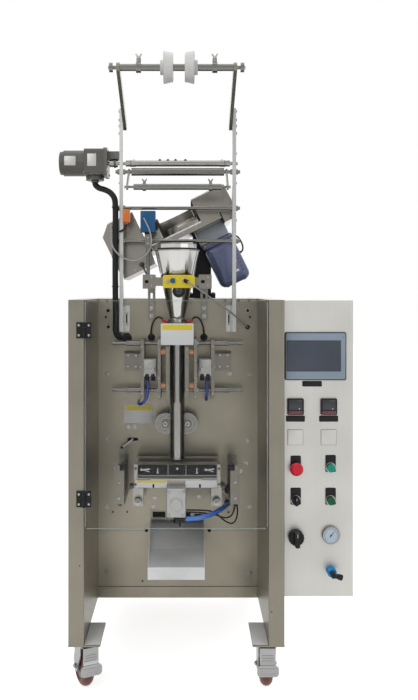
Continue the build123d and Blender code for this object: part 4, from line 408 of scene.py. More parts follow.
@dataclass
class Shape:
    """A mesh in the making, in millimetres from the datum. What adds to it also returns it."""

    datum: Datum
    turn: Matrix = field(default_factory=lambda: Matrix.Identity(4))
    mesh: bmesh.types.BMesh = field(default_factory=bmesh.new)

    def _bevel(self, edges: Iterable[bmesh.types.BMEdge], width: float, segments: int) -> None:
        """Rounds edges.

        Args:
            edges: the edges.
            width: the width that is rounded off, or 0 for sharp edges.
            segments: how many faces go round each edge.
        """
        if width > 0:
            bmesh.ops.bevel(
                self.mesh,
                geom=list(edges),
                offset=width,
                offset_type="OFFSET",
                affect="EDGES",
                segments=segments,
                profile=0.5,
                material=-1,
                clamp_overlap=True,
            )

    def _cube(self, corner: Point, opposite: Point) -> set[bmesh.types.BMEdge]:
        """Adds a box.

        Args:
            corner: one of its corners.
            opposite: the corner opposite.

        Returns:
            Its edges.
        """
        first, second = Vector(corner), Vector(opposite)
        size = [abs(value) for value in second - first]
        middle = Matrix.Translation((first + second) / 2)
        matrix = self.turn @ middle @ Matrix.Diagonal((*size, 1.0))
        made = bmesh.ops.create_cube(self.mesh, size=1.0, matrix=matrix)
        return {edge for vert in made["verts"] for edge in vert.link_edges}

    def _aimed(self, centre: Vector, axis: Vector) -> Matrix:
        """Returns the matrix that puts a piece's z along an axis at a centre."""
        aim = Vector(UP).rotation_difference(axis).to_matrix().to_4x4()
        return self.turn @ Matrix.Translation(centre) @ aim

    def block(
        self, corner: Point, opposite: Point, bevel: float = 0.0, segments: int = 2
    ) -> "Shape":
        """Adds a box between two opposite corners, with rounded edges."""
        self._bevel(self._cube(corner, opposite), bevel, segments)
        return self

    def panel(self, corner: Point, opposite: Point, radius: float, bevel: float = 0.0) -> "Shape":
        """Adds a plate that faces the front, with rounded corners and softened front edges.

        Args:
            corner: one of its corners.
            opposite: the corner opposite.
            radius: the radius of its four corners.
            bevel: the width of its softened front edges.

        Returns:
            The shape.
        """
        edges = self._cube(corner, opposite)
        along = [e for e in edges if abs((e.verts[0].co - e.verts[1].co).normalized().y) > 0.9]
        before = set(self.mesh.faces)
        self._bevel(along, radius, 5)
        made = [face for face in self.mesh.faces if face not in before]
        front = [face for face in made if face.normal.y < -0.9]
        self._bevel({edge for face in front for edge in face.edges}, bevel, 2)
        return self

    def rod(
        self,
        start: Point,
        end: Point,
        radius: float,
        end_radius: Optional[float] = None,
        sides: int = 28,
        bevel: float = 0.0,
    ) -> "Shape":
        """Adds a round bar or cone between two points.

        Args:
            start: the middle of its first end.
            end: the middle of its other end.
            radius: its radius at the start.
            end_radius: its radius at the end, if that differs.
            sides: how many sides it has.
            bevel: the width of its softened rims.

        Returns:
            The shape.
        """
        first, last = Vector(start), Vector(end)
        axis = last - first
        made = bmesh.ops.create_cone(
            self.mesh,
            cap_ends=True,
            cap_tris=False,
            segments=sides,
            radius1=radius,
            radius2=radius if end_radius is None else end_radius,
            depth=axis.length,
            matrix=self._aimed((first + last) / 2, axis),
        )
        edges = {edge for vert in made["verts"] for edge in vert.link_edges}
        rims = {edge for edge in edges if any(len(face.verts) > 4 for face in edge.link_faces)}
        self._bevel(rims, bevel, 2)
        return self

    def turned(self, centre: Point, axis: Point, profile: Sequence[Pair]) -> "Shape":
        """Adds a turned piece from (distance along the axis, radius) pairs.

        Args:
            centre: the point that distances are measured from.
            axis: the direction of the axis.
            profile: the outline, which is closed where it starts off the axis.

        Returns:
            The shape.
        """
        matrix = self._aimed(Vector(centre), Vector(axis).normalized())
        verts = [self.mesh.verts.new(matrix @ Vector((r, 0.0, h))) for h, r in profile]
        edges = [self.mesh.edges.new(pair) for pair in zip(verts, verts[1:])]
        if profile[0][1] > 0:
            edges.append(self.mesh.edges.new((verts[-1], verts[0])))
        bmesh.ops.spin(
            self.mesh,
            geom=verts + edges,
            cent=matrix.translation,
            axis=matrix.to_3x3() @ Vector(UP),
            angle=math.tau,
            steps=40,
            use_merge=True,
            use_normal_flip=False,
            use_duplicate=False,
        )
        bmesh.ops.remove_doubles(self.mesh, verts=self.mesh.verts[:], dist=0.0005)
        return self

    def rings(
        self, axis: Point, outer: float, inner: float, length: float, *centres: Point
    ) -> "Shape":
        """Adds flat rings.

        Args:
            axis: the direction that they go along.
            outer: their outer radius.
            inner: their inner radius.
            length: their length along the axis.
            centres: the points that they start at.

        Returns:
            The shape.
        """
        soft = min(0.4, length / 4, (outer - inner) / 4)
        profile = [
            (0, inner),
            (0, outer - soft),
            (soft, outer),
            (length - soft, outer),
            (length, outer - soft),
            (length, inner),
        ]
        for centre in centres:
            self.turned(centre, axis, profile)
        return self

    def screws(self, axis: Point, radius: float, tall: float, *places: Point) -> "Shape":
        """Adds the heads of socket screws.

        Args:
            axis: the direction that they stand up in.
            radius: a head's radius.
            tall: a head's height.
            places: the points on the surface where they stand.

        Returns:
            The shape.
        """
        socket = radius * 0.5
        profile = [
            (tall * 0.45, 0.0),
            (tall * 0.45, socket),
            (tall, socket),
            (tall, radius * 0.88),
            (tall * 0.85, radius),
            (0.0, radius),
            (0.0, 0.0),
        ]
        for place in places:
            self.turned(place, axis, profile)
        return self

    def nut(self, place: Point, axis: Point, radius: float, height: float) -> "Shape":
        """Adds a hexagon nut with a washer and a tapered stud.

        Args:
            place: the point on the surface where it stands.
            axis: the direction that it stands up in.
            radius: the nut's radius over its corners.
            height: its height with the washer.

        Returns:
            The shape.
        """
        start, direction = Vector(place), Vector(axis)
        washer = start + direction * height * 0.2
        top = start + direction * height
        self.rod(start, washer, radius * 1.25, sides=24)
        self.rod(washer, top, radius, sides=6, bevel=radius * 0.08)
        tip = start + direction * height * 1.4
        return self.rod(top, tip, radius * 0.5, radius * 0.4, sides=16)

    def finished(
        self, name: str, finish: Finish, body: str = "root", slot: str = ""
    ) -> bpy.types.Object:
        """Makes the object: its place goes into its mesh, and it rides on a body.

        Args:
            name: the piece's name.
            finish: its surface.
            body: the body that it rides on.
            slot: the record's material slot; not used.

        Returns:
            The piece's object.
        """
        bmesh.ops.recalc_face_normals(self.mesh, faces=self.mesh.faces[:])
        data = bpy.data.meshes.new(name)
        self.mesh.to_mesh(data)
        self.mesh.free()
        shift = Vector((self.datum.x, self.datum.y, 0.0))
        data.transform(Matrix.Translation(shift) @ Matrix.Scale(MILLIMETRE, 4))
        for polygon in data.polygons:
            polygon.use_smooth = True
        data.set_sharp_from_angle(angle=SHARP_ANGLE)
        data.materials.append(finish.material())
        piece = bpy.data.objects.new(name, data)
        bpy.context.scene.collection.objects.link(piece)
        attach(piece, body)
        log.info("%s on %s: %d faces", name, body, len(data.polygons))
        return piece


@dataclass
class Assembly:
    """A group of pieces that are built and dressed together."""

    datum: Datum

    def shape(self, turn: Optional[Matrix] = None) -> Shape:
        """Starts a new mesh, in the datum's or in a turned frame."""
        return Shape(self.datum, turn or Matrix.Identity(4))

    def dress(self, finish: Finish, *names: str) -> None:
        """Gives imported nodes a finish.

        Args:
            finish: the finish.
            names: the nodes' names.
        """
        for name in names:
            data = bpy.data.objects[name].data
            data.materials.clear()
            data.materials.append(finish.material())

    def cord(
        self, name: str, points: Sequence[Point], diameter: float, finish: Finish, body: str
    ) -> bpy.types.Object:
        """Adds a held lead as a smooth curve through its route's points.

        Args:
            name: the piece's name.
            points: the route's points.
            diameter: its diameter.
            finish: its surface.
            body: the body that it rides on.

        Returns:
            The curve's object.
        """
        curve = bpy.data.curves.new(name, "CURVE")
        curve.dimensions = "3D"
        curve.bevel_depth = diameter / 2 * MILLIMETRE
        curve.bevel_resolution = 5
        curve.resolution_u = 10
        curve.use_fill_caps = True
        spline = curve.splines.new("NURBS")
        spline.points.add(len(points) - 1)
        for target, point in zip(spline.points, points):
            target.co = (*self.datum.place(point), 1.0)
        spline.order_u = 3
        spline.use_endpoint_u = True
        curve.materials.append(finish.material())
        piece = bpy.data.objects.new(name, curve)
        bpy.context.scene.collection.objects.link(piece)
        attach(piece, body)
        log.info("%s on %s: a curve of %d points", name, body, len(points))
        return piece


@dataclass
class Cabinet(Assembly):
    """Side walls, mounting panel, rear cover, door, hinges, chute and the panel's fixings."""

    half: float = 325.0
    bay_half: float = 277.0
    bay_depth: float = 345.0
    top: float = 1200.0
    bottom: float = 163.0
    depth: float = 820.0
    hem: Pair = (200.8, 201.6)
    door_half: float = 275.0
    door_heights: Pair = (512.0, 1198.0)
    door_depths: Pair = (0.2, 4.8)
    door_inset: float = 6.0
    hinge_heights: Pair = (1109.0, 603.0)
    hinge_face: float = -5.0
    hinge_reach: float = 15.0
    foot_depths: Pair = (4.0, 149.0)
    card_back: float = 198.0
    cover_half: float = 250.0
    cover_heights: Pair = (260.0, 1100.0)
    cover_sheet: float = 2.0
    vent_low: float = 330.0
    vent_pitch: float = 16.0
    bolt_places: tuple[Pair, ...] = (
        (-244, 939), (-243, 710), (-171, 756), (-148, 756), (-246, 253), (249, 248),
        (248, 938), (180, 939), (243, 706), (238, 630), (216, 602), (249, 478),
        (-214, 610), (-246, 478), (-81, 510), (-86, 481), (73, 515),
    )
    washer_places: tuple[Pair, ...] = ((-242, 1158.5), (-242, 1101.5), (242, 1158.5))
    top_screws: tuple[float, ...] = (-246, 163.5, 210.7, 246)
    small_holes: tuple[Pair, ...] = (
        (-226, 460), (-176, 460), (175, 459), (-123, 220), (-209, 562), (206, 559),
    )
    large_holes: tuple[Pair, ...] = ((250, 1136), (-250, 1136))

    def build(self) -> None:
        """Builds and dresses the cabinet."""
        self.dress(POST_STEEL, "left_side_panel", "right_side_panel")
        self.dress(PANEL_STEEL, "mounting_panel", "rear_cover")
        self.dress(BRIGHT_SHEET, "discharge_chute")
        self.dress(BLACK_PAINT, "post_hinges", "door_hinges")
        self.dress(CLEAR, "door_sheet")
        self._fixings()
        self._hinge_screws()
        self._door_edge()
        self._wall_seams()
        self._lever()
        self._cards()
        self._service_cover()
        self._foot_plates()
        self._outlet_brackets()

    def _fixings(self) -> None:
        """Screws, washers and small holes on the mounting panel."""
        panel = self.bay_depth
        screws = self.shape()
        for x, z in self.bolt_places:
            screws.screws(FRONT, 5.5, 4.0, (x, panel, z))
            screws.rings(FRONT, 8.0, 4.0, 1.2, (x, panel, z))
        for x, z in self.washer_places:
            screws.rings(FRONT, 8.5, 5.5, 0.8, (x, panel, z))
        screws.finished("panel_screws", BOLT_STEEL)
        tops = grid(self.top_screws, [panel], [1193])
        self.shape().screws(FRONT, 4.2, 5.0, *tops).finished("panel_top_screws", DARK_STEEL)
        holes = self.shape()
        for places, radius in ((self.small_holes, 3.2), (self.large_holes, 4.0)):
            for x, z in places:
                holes.rod((x, panel, z), (x, panel - 0.6, z), radius, sides=20)
        holes.finished("panel_plugs", HOLE_DARK)

    def _hinge_screws(self) -> None:
        """Four bright screws on each black hinge."""
        reach = self.hinge_reach
        for body, side in (("root", -1), ("door", 1)):
            heights = [middle + rise for middle in self.hinge_heights for rise in (-reach, reach)]
            places = grid([-self.bay_half + side * reach], [self.hinge_face], heights)
            screws = self.shape().screws(FRONT, 3.4, 1.6, *places)
            screws.finished(f"hinge_screws_{body}", BOLT_STEEL, body)

    def _door_edge(self) -> None:
        """The clear door's brighter cut edges."""
        low, high = self.door_heights
        near, far = self.door_depths
        wide, inset = self.door_half, self.door_inset
        edge = self.shape()
        for bottom, top in ((low + 0.2, low + 2.2), (high - 1.4, high - 0.2)):
            edge.block((inset - wide, near, bottom), (wide - inset, far, top), 0.4)
        for side in (1, -1):
            inner, outer = side * (wide - 2.2), side * (wide - 0.2)
            edge.block((inner, near, low + inset), (outer, far, high - inset), 0.4)
        edge.finished("door_edges", CLEAR_EDGE, "door", "clear_sheet")

    def _wall_seams(self) -> None:
        """Dark joint lines where walls, rear cover and hem meet, and the post's small marks."""
        panel, low, high = self.bay_depth, self.bottom, self.top
        seam = self.shape()
        for side in SIDES:
            x = side * (self.bay_half - 0.4)
            seam.block((x, panel - 2.2, low), (x + side * 0.3, panel - 0.2, high))
            x = side * self.half
            for depth in (panel + 2, self.depth - 3):
                seam.block((x, depth, low), (x + side * 0.25, depth + 0.9, high))
        seam.block((-self.bay_half, panel - 2.2, self.hem[0]), (self.bay_half, panel, self.hem[1]))
        seam.finished("wall_seams", SEAM_BROWN)
        marks = self.shape()
        for x, z in ((286, 264), (-290, 402)):
            marks.rod((x, 0, z), (x, -0.5, z), 2.0, sides=16)
        marks.finished("post_marks", HOLE_DARK)

    def _lever(self) -> None:
        """The white locking lever that comes out of its slot."""
        panel = self.bay_depth
        bend = (-160, panel - 12, 710)
        lever = self.shape()
        lever.rod((-158, panel + 4, 712), bend, 4.0, bevel=0.8)
        lever.rod(bend, (-190, panel - 22, 690), 3.4, bevel=0.8)
        lever.finished("locking_lever", WHITE_PLASTIC, slot="white_plastic")
        tip = self.shape().rod((-189, panel - 21.6, 690.6), (-196, panel - 24, 686), 4.2, bevel=1)
        tip.finished("locking_lever_tip", BLACK_PLASTIC, slot="black_plastic")

    def _cards(self) -> None:
        """Two plain plates without words, one on the panel and one held before the tube."""
        plates, bands = self.shape(), self.shape()
        for left, right, low, high, back in (
            (-186.7, -87.8, 768.0, 832.0, self.bay_depth),
            (-54.0, 53.3, 1049.7, 1120.4, self.card_back),
        ):
            band = high - (high - low) * 0.30
            plates.panel((left, back - 1.2, low), (right, back, high), 3.0, 0.3)
            bands.panel((left + 4, back - 1.6, band), (right - 4, back - 1.1, high - 4), 1.0)
        plates.block((-9, self.card_back, 1078), (7, 236.5, 1092), 0.6)
        plates.finished("plain_plates", CARD_WHITE)
        bands.finished("plain_plate_bands", CARD_YELLOW)

    def _foot_plates(self) -> None:
        """Painted highlight: brighter tops on the front foot plates that carry the casters, as lit from
        above.
        """
        _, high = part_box("left_side_panel")
        reach = abs(high.x - self.datum.x) / MILLIMETRE + 0.5
        near, far = self.foot_depths
        # Painted highlight: the tops get a brighter sheet than the walls' steel, for the light that
        # falls on them from above.
        tops = self.shape()
        for side in SIDES:
            wall = (side * (self.bay_half - 0.5), near, self.bottom - 0.1)
            tops.block(wall, (side * reach, far, self.bottom + 0.5), 0.2)
        tops.finished("foot_plate_lit_tops", BRIGHT_SHEET)

    def _outlet_brackets(self) -> None:
        """The bracket behind the outlet's upper edge, with its rib and three dark windows."""
        back = self.bay_depth + 3.0
        plate = self.shape().block((-98, back, 432), (93, back + 2.5, 474), 0.5)
        plate.block((-36, back - 2.0, 428), (-28, back + 2.0, 470), 0.6)
        plate.finished("outlet_bracket", PANEL_STEEL)
        windows = self.shape()
        for left, right, low, high in ((-88, -44, 440, 460), (-20, 44, 440, 460), (56, 84, 436, 452)):
            windows.panel((left, back - 0.6, low), (right, back + 0.1, high), 2.0)
        windows.finished("outlet_windows", HOLE_DARK)

    def _service_cover(self) -> None:
        """The rear service cover: a plate with vents, and screws round its edge."""
        back, face = self.depth, self.depth + self.cover_sheet
        low, high = self.cover_heights
        cover = self.shape().block((-self.cover_half, back, low), (self.cover_half, face, high), 0.6)
        cover.finished("service_cover", PANEL_STEEL)
        vents = self.shape()
        for row in range(6):
            z = self.vent_low + row * self.vent_pitch
            vents.block((-90, face - 0.4, z), (90, face + 0.4, z + 5), 0.2)
        vents.finished("service_vents", HOLE_DARK)
        middle = (0, face, 680)
        places = [p for p in grid((-238, 0, 238), [face], (272, 680, 1088)) if p != middle]
        self.shape().screws(BACK, 5.0, 3.0, *places).finished("service_screws", BOLT_STEEL)


@dataclass
class ControlBox(Assembly):
    """The control box's face: screen, controllers, covers, plates, gauge, valve and switches."""

    face: float = 40.0
    left: float = 325.0
    top: float = 1198.0
    bottom: float = 294.0
    left_column: float = 364.0
    right_column: float = 470.5
    controller_columns: Pair = (363.0, 464.5)
    switch_rows: tuple[Pair, Pair] = ((686.0, 588.0), (688.0, 588.0))
    main_switch_z: float = 477.0
    gauge_z: float = 483.0
    valve_z: float = 375.0
    screen: Pair = (424.0, 1028.0)

    def build(self) -> None:
        """Builds and dresses the control box."""
        self.dress(BOX_STEEL, "control_box")
        self.dress(RED_PLASTIC, "stop_button")
        self.dress(GREEN_PLASTIC, "start_button")
        self.dress(DEEP_GREEN, "reset_button")
        self.dress(BLACK_PLASTIC, "selector_knob", "main_switch")
        self.dress(VALVE_BLUE, "air_valve")
        self._screen()
        self._controllers()
        self._covers_and_plates()
        self._gauge()
        self._switch_details()
        self._valve()
        self._door_gap()

    def _plate(
        self,
        shape: Shape,
        centre: Pair,
        size: Pair,
        off: Pair,
        corner: float = 2.0,
        bevel: float = 0.5,
    ) -> None:
        """Adds a plate on the box's face.

        Args:
            shape: the mesh that it goes into.
            centre: its middle's x and z.
            size: its width and height.
            off: how far its back and its front stand off the face.
            corner: the radius of its corners.
            bevel: the width of its softened front edges.
        """
        (x, z), (width, height), (back, front) = centre, size, off
        shape.panel(
            (x - width / 2, self.face - front, z - height / 2),
            (x + width / 2, self.face - back, z + height / 2),
            corner,
            bevel,
        )

    def _screen(self) -> None:
        """The touch screen: dark rim, blue-grey bezel, glass on a dark field and a green lamp."""
        x, z = self.screen
        rim, bezel, well, glass, lamp = (self.shape() for _ in range(5))
        self._plate(rim, (x, z), (188, 147), (0, 5.5), 6, 1.2)
        self._plate(bezel, (x, z), (181, 140), (5.0, 7.6), 5, 1.0)
        self._plate(well, (x - 6, z + 1), (166, 95), (7.4, 7.9), 2, 0.2)
        self._plate(glass, (x - 6, z + 1), (160, 89), (7.8, 8.0), 1, 0)
        lamp.rod((x + 84, self.face - 7.4, z + 58), (x + 84, self.face - 8.0, z + 58), 1.6)
        frame = rim.finished("screen_rim", FRAME_DARK, slot="black_plastic")
        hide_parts("panel_fittings")
        bezel.finished("screen_bezel", BEZEL_BLUE)
        well.finished("screen_well", FRAME_DARK)
        glass.finished("screen_glass_sheet", SCREEN_GLASS)
        lamp.finished("screen_lamp", GREEN_PLASTIC)

    def _controllers(self) -> None:
        """Two temperature controllers with dark displays, red strips, keys and white dots."""
        cases, windows, strips, keys, dots = (self.shape() for _ in range(5))
        for x in self.controller_columns:
            self._plate(cases, (x, 874), (50, 50), (0, 8.0), 4, 1.0)
            self._plate(windows, (x, 880), (40, 31), (7.8, 8.6), 1.5, 0.2)
            self._plate(strips, (x, 856.5), (42, 9), (7.8, 8.7), 1, 0.2)
            for step in (-15, -5, 5, 15):
                self._plate(keys, (x + step, 856.5), (6, 4.5), (8.6, 9.0), 1, 0.2)
            dots.rod((x + 11, self.face - 8.4, 868), (x + 11, self.face - 9.0, 868), 1.8, sides=16)
        cases.finished("controller_cases", BLACK_PLASTIC)
        windows.finished("controller_windows", DISPLAY)
        strips.finished("controller_strips", DISPLAY_RED)
        keys.finished("controller_keys", FRAME_DARK)
        dots.finished("controller_dots", WHITE_PLASTIC)

    def _covers_and_plates(self) -> None:
        """Blank covers, plain black plates, and the plates and collars behind the switches."""
        covers, plates, collars, outlines = (self.shape() for _ in range(4))
        for x in self.controller_columns:
            self._plate(covers, (x, 780), (46, 46), (0, 2.2), 1.5)
            self._plate(outlines, (x, 780), (48, 48), (0, 0.5))
            self._plate(plates, (x, 837), (58, 19), (0, 1.4), 3, 0.4)
        self._plate(plates, (414, 943.5), (60, 17), (0, 1.4), 3, 0.4)
        for x, rows in zip((self.left_column, self.right_column), self.switch_rows):
            for z in rows:
                self._plate(plates, (x, z + 12), (32, 52), (0, 1.5), 4, 0.4)
                collars.rings(FRONT, 15.5, 8.2, 2.6, (x, self.face - 1.4, z))
        covers.finished("blank_covers", BOX_STEEL, slot="cabinet_steel")
        outlines.finished("cover_outlines", SEAM_BROWN)
        plates.finished("plain_black_plates", BLACK_PLASTIC)
        collars.finished("switch_collars", BOLT_STEEL)
        base = (self.left_column, self.face, self.main_switch_z)
        self.shape().rings(FRONT, 23, 8.2, 3.6, base).finished("main_switch_base", BLACK_PLASTIC)

    def _gauge(self) -> None:
        """The pressure gauge: bright ring, white dial, ticks without numerals, and needle."""
        x, z, face = self.right_column, self.gauge_z, self.face

        def on_dial(radius: float, angle: float, height: float) -> Point:
            """Returns a point above the dial from its radius and angle."""
            return (x + radius * math.cos(angle), face - height, z + radius * math.sin(angle))

        ring = [(0, 0), (0, 25.5), (2, 27.5), (9, 27.5), (12, 25.5), (12, 23.4), (9.6, 23.2), (9.6, 0)]
        self.shape().turned((x, face, z), FRONT, ring).finished("gauge_ring", BOLT_STEEL)
        dial = self.shape().rod((x, face - 9.4, z), (x, face - 10.2, z), 23.1, sides=48)
        dial.finished("gauge_dial", DIAL_WHITE)
        marks = self.shape()
        for number in range(28):
            angle = math.radians(225 - number * 10)
            inner = 17.5 if number % 3 == 0 else 19.5
            marks.rod(on_dial(inner, angle, 10.3), on_dial(21.5, angle, 10.3), 0.4, sides=8)
        needle = math.radians(52)
        marks.rod(on_dial(-6, needle, 11.0), on_dial(17, needle, 11.0), 0.9, 0.3, sides=10)
        marks.rod((x, face - 10.2, z), (x, face - 11.6, z), 2.4, bevel=0.4)
        marks.finished("gauge_marks", BLACK_PLASTIC)

    def _switch_details(self) -> None:
        """White pointers on the turning switches, the main switch's grip, the stop's dome."""
        x, z = self.left_column, self.main_switch_z
        selector = self.shape().block((x - 0.7, 13.5, 592), (x + 0.7, 14.9, 599), 0.2)
        selector.finished("selector_mark", WHITE_PLASTIC, "selector_knob")
        switch = self.shape().block((x - 0.9, -4.0, z + 9), (x + 0.9, -2.8, z + 20), 0.2)
        switch.finished("main_switch_mark", WHITE_PLASTIC, "main_switch")
        grip = self.shape()
        for number in range(16):
            angle = number * math.tau / 16
            rib_x, rib_z = x + 22.6 * math.cos(angle), z + 22.6 * math.sin(angle)
            grip.rod((rib_x, 30.4, rib_z), (rib_x, 21.4, rib_z), 1.6, sides=10, bevel=0.3)
        grip.finished("main_switch_grip", BLACK_PLASTIC, "main_switch", "black_plastic")
        crown = [(0, 0), (0, 14.6), (1.4, 13.0), (2.0, 8.0), (2.2, 0)]
        dome = self.shape().turned((x, 15.2, self.switch_rows[0][0]), FRONT, crown)
        dome.finished("stop_button_dome", RED_PLASTIC, "stop_button", "red_plastic")

    def _valve(self) -> None:
        """The valve's dark elbow and its rings."""
        x, z = self.right_column, self.valve_z
        elbow = self.shape().rod((x, 6.4, z), (x, -10.4, z), 8.4, bevel=1.2)
        elbow.rod((478, -2, 372.6), (497, -2, 366.8), 7.4, bevel=0.8)
        elbow.rod((486, -2, 370.2), (497.5, -2, 366.6), 8.6, bevel=1.0)
        elbow.finished("valve_elbow", BLACK_PLASTIC, slot="black_plastic")
        depths = [self.face - distance for distance in (4, 9, 14, 19, 24)]
        rings = self.shape().rings(FRONT, 14.0, 12.5, 1.4, *grid([x], depths, [z]))
        rings.finished("valve_rings", VALVE_BLUE, slot="blue_plastic")

    def _door_gap(self) -> None:
        """The gap between the control box's door and the post."""
        x, depth = self.left, self.face
        near, far = (x + 0.2, depth + 12, self.bottom), (x + 1.4, depth + 14, self.top)
        self.shape().block(near, far).finished("box_door_gap", HOLE_DARK)


@dataclass(frozen=True)
class WingScrew:
    """The sizes of a wing screw: its foot, and the wings that rise from it."""

    foot: float
    foot_radius: float
    wing_foot: float
    reach: float
    tall: float
    root_radius: float
    tip_radius: float
    bevel: float


@dataclass
class FilmFrame(Assembly):
    """Posts, cross rods, reel, rollers, dancer, film motor and sensors above the cabinet."""

    reel: Pair = (75.0, 1920.0)
    rod_depth: float = 327.0
    driven_z: float = 1666.0
    dancer_depth: float = 240.0
    dancer_z: float = 1573.0
    post_outer: float = 200.0
    bracket_x: float = 177.0
    arm_bolts: tuple[float, ...] = (1846, 1816, 1795, 1770)
    post_bolts: tuple[float, ...] = (1700, 1598, 1470, 1330)
    bracket_bolts: Pair = (1112, 1150)
    rod_ends: tuple[Pair, ...] = ((327, 1512), (327, 1399), (320, 1636))
    guide_places: tuple[float, ...] = (-62, -34, -8, 26)
    flange_reach: float = 36.0
    reel_wings: WingScrew = WingScrew(6, 5.0, 4, 9, 15, 3.0, 2.0, 0.8)
    dancer_wings: WingScrew = WingScrew(8, 4.5, 5, 8, 14, 2.8, 1.8, 0.6)

    def build(self) -> None:
        """Builds and dresses the film frame."""
        self.dress(FRAME_STEEL, "film_frame")
        self.dress(GROUND_STEEL, "reel_arms", "dancer_arms")
        self.dress(ROD_STEEL, "cross_rods", "reel_shaft", "dancer_roller", "idle_roller")
        self.dress(POLISHED, "driven_roller")
        self.dress(WHITE_PLASTIC, "reel_cones")
        self.dress(MOTOR_GREY, "film_motor")
        self.dress(ORANGE_PLASTIC, "limit_switch")
        self.dress(BLUE_PLASTIC, "mark_sensor")
        self._post_fixings()
        self._reel_details()
        self._roller_details()
        self._motor_details()
        self._sensor_details()

    def _post_fixings(self) -> None:
        """Bolts through the posts, angle brackets' slots, and rod end collars."""
        bolts, collars, slots = self.shape(), self.shape(), self.shape()
        for side in SIDES:
            out, post, bracket = (side, 0, 0), [side * self.post_outer], [side * self.bracket_x]
            bolts.screws(out, 5.0, 4.0, *grid(post, [self.rod_depth], self.arm_bolts))
            bolts.screws(out, 4.0, 3.4, *grid(post, [self.rod_depth], self.post_bolts))
            bolts.screws(FRONT, 4.5, 4.0, *grid(bracket, [342], self.bracket_bolts))
            for depth, z in self.rod_ends:
                ends = (side * self.post_outer, depth, z), (side * 180, depth, z)
                collars.rings(out, 9.5, 6.0, 7.0, *ends)
        for left in (174, -180):
            slots.panel((left, 341.4, 1112), (left + 5, 342, 1146), 2.4)
        bolts.finished("post_bolts", BOLT_STEEL)
        collars.finished("rod_collars", ROD_STEEL, slot="machined_steel")
        slots.finished("bracket_slots", HOLE_DARK)

    def _wing(self, shape: Shape, place: Point, size: WingScrew) -> None:
        """Adds a wing screw that stands upright.

        Args:
            shape: the mesh that it goes into.
            place: the middle of its foot's underside.
            size: its sizes.
        """
        x, depth, low = place
        shape.rod(place, (x, depth, low + size.foot), size.foot_radius, bevel=0.8)
        for side in SIDES:
            root = (x + side * 2, depth, low + size.wing_foot)
            tip = (x + side * size.reach, depth, low + size.tall)
            shape.rod(root, tip, size.root_radius, size.tip_radius, bevel=size.bevel)

    def _reel_details(self) -> None:
        """Wing screws on the collars, shaft end screws, cone flanges and their pins."""
        depth, z = self.reel
        wings, flanges = self.shape(), self.shape()
        for side in SIDES:
            self._wing(wings, (side * 118, depth, z + 28), self.reel_wings)
            wings.screws((side, 0, 0), 6.0, 4.0, (side * 209, depth, z))
        wings.finished("reel_wing_screws", BOLT_STEEL, "reel", "polished_steel")
        for near, far, side in ((-11, -39, -1), (25, 53, 1)):
            flanges.rings((side, 0, 0), 44.6, 30.0, 1.6, (near, depth, z))
            flanges.rings((side, 0, 0), 49.0, 42.0, 1.8, (far, depth, z))
        for number in range(6):
            angle = number * math.tau / 6
            y, height = depth + 35 * math.cos(angle), z + 35 * math.sin(angle)
            for face, side in ((-40.8, -1), (54.8, 1)):
                flanges.rod((face - side * 2, y, height), (face + side * 0.6, y, height), 5, sides=18)
        flanges.finished("cone_flanges", WHITE_PLASTIC, "reel", "white_plastic")

    def _roller_details(self) -> None:
        """Roller end rings, film guide clips, and the dancer's wing screws and end screws."""
        rings, clips, knobs, caps = (self.shape() for _ in range(4))
        depth, z = self.dancer_depth, self.dancer_z
        for side in SIDES:
            out = (side, 0, 0)
            rings.rings(out, 12.4, 11.0, 3.0, (side * 160, self.rod_depth, self.driven_z))
            rings.screws(UP, 2.2, 1.6, (side * 152, self.rod_depth, self.driven_z + 12))
            self._wing(knobs, (side * 110, depth, z + 13), self.dancer_wings)
            caps.screws(out, 5.5, 3.0, (side * 174, depth, z))
        for x in self.guide_places:
            clips.block((x - 5, 321, 1676.4), (x + 5, 333, 1678.4), 0.6)
            clips.rod((x, self.rod_depth, 1678), (x, self.rod_depth, 1681.5), 3.0, bevel=0.6)
        rings.finished("driven_roller_rings", ROD_STEEL, "driven_roller")
        clips.finished("film_guides", DARK_STEEL, "driven_roller")
        knobs.finished("dancer_wing_screws", ROD_STEEL, "dancer_roller")
        caps.finished("dancer_caps", BOLT_STEEL, "dancer_roller")

    def _motor_details(self) -> None:
        """The motor's flange screws, joint lines, plain plates and gland, and its coupling."""
        z, depth = self.driven_z, self.rod_depth
        screws, lines, plates = self.shape(), self.shape(), self.shape()
        corners = [side * self.flange_reach for side in SIDES]
        for y, rise in product(corners, corners):
            screws.screws(RIGHT, 3.6, 3.0, (-240, depth + y, z + rise))
            screws.screws(LEFT, 3.2, 2.4, (-318, depth + y, z + rise))
        screws.finished("motor_screws", BOLT_STEEL)
        lines.rings(RIGHT, 44.4, 43.4, 2.2, (-330, depth, z), (-346, depth, z))
        lines.rings(RIGHT, 44.6, 39.8, 1.6, (-391, depth, z))
        lines.rings(RIGHT, 44.9, 43.5, 3.0, (-318, depth, z))
        lines.finished("motor_lines", DARK_STEEL)
        plates.block((-306, 281.4, 1650), (-276, 282.2, 1692), 0.3)
        plates.block((-384, 282.4, 1652), (-346, 283.8, 1684), 0.3)
        plates.finished("motor_plates", ALUMINIUM)
        gland = self.shape().block((-298, 283, 1622), (-262, 300, 1632), 1.5)
        gland.rod((-285, depth, 1607.4), (-285, depth, 1600), 13.0, bevel=1.0)
        gland.finished("motor_gland", MOTOR_GREY, slot="motor_grey")
        coupling = self.shape().rings(LEFT, 15.4, 13.2, 8.0, (-212, depth, z))
        coupling.screws(UP, 2.4, 1.6, (-216, depth, z + 15))
        coupling.finished("coupling_ring", DARK_STEEL, "driven_roller")

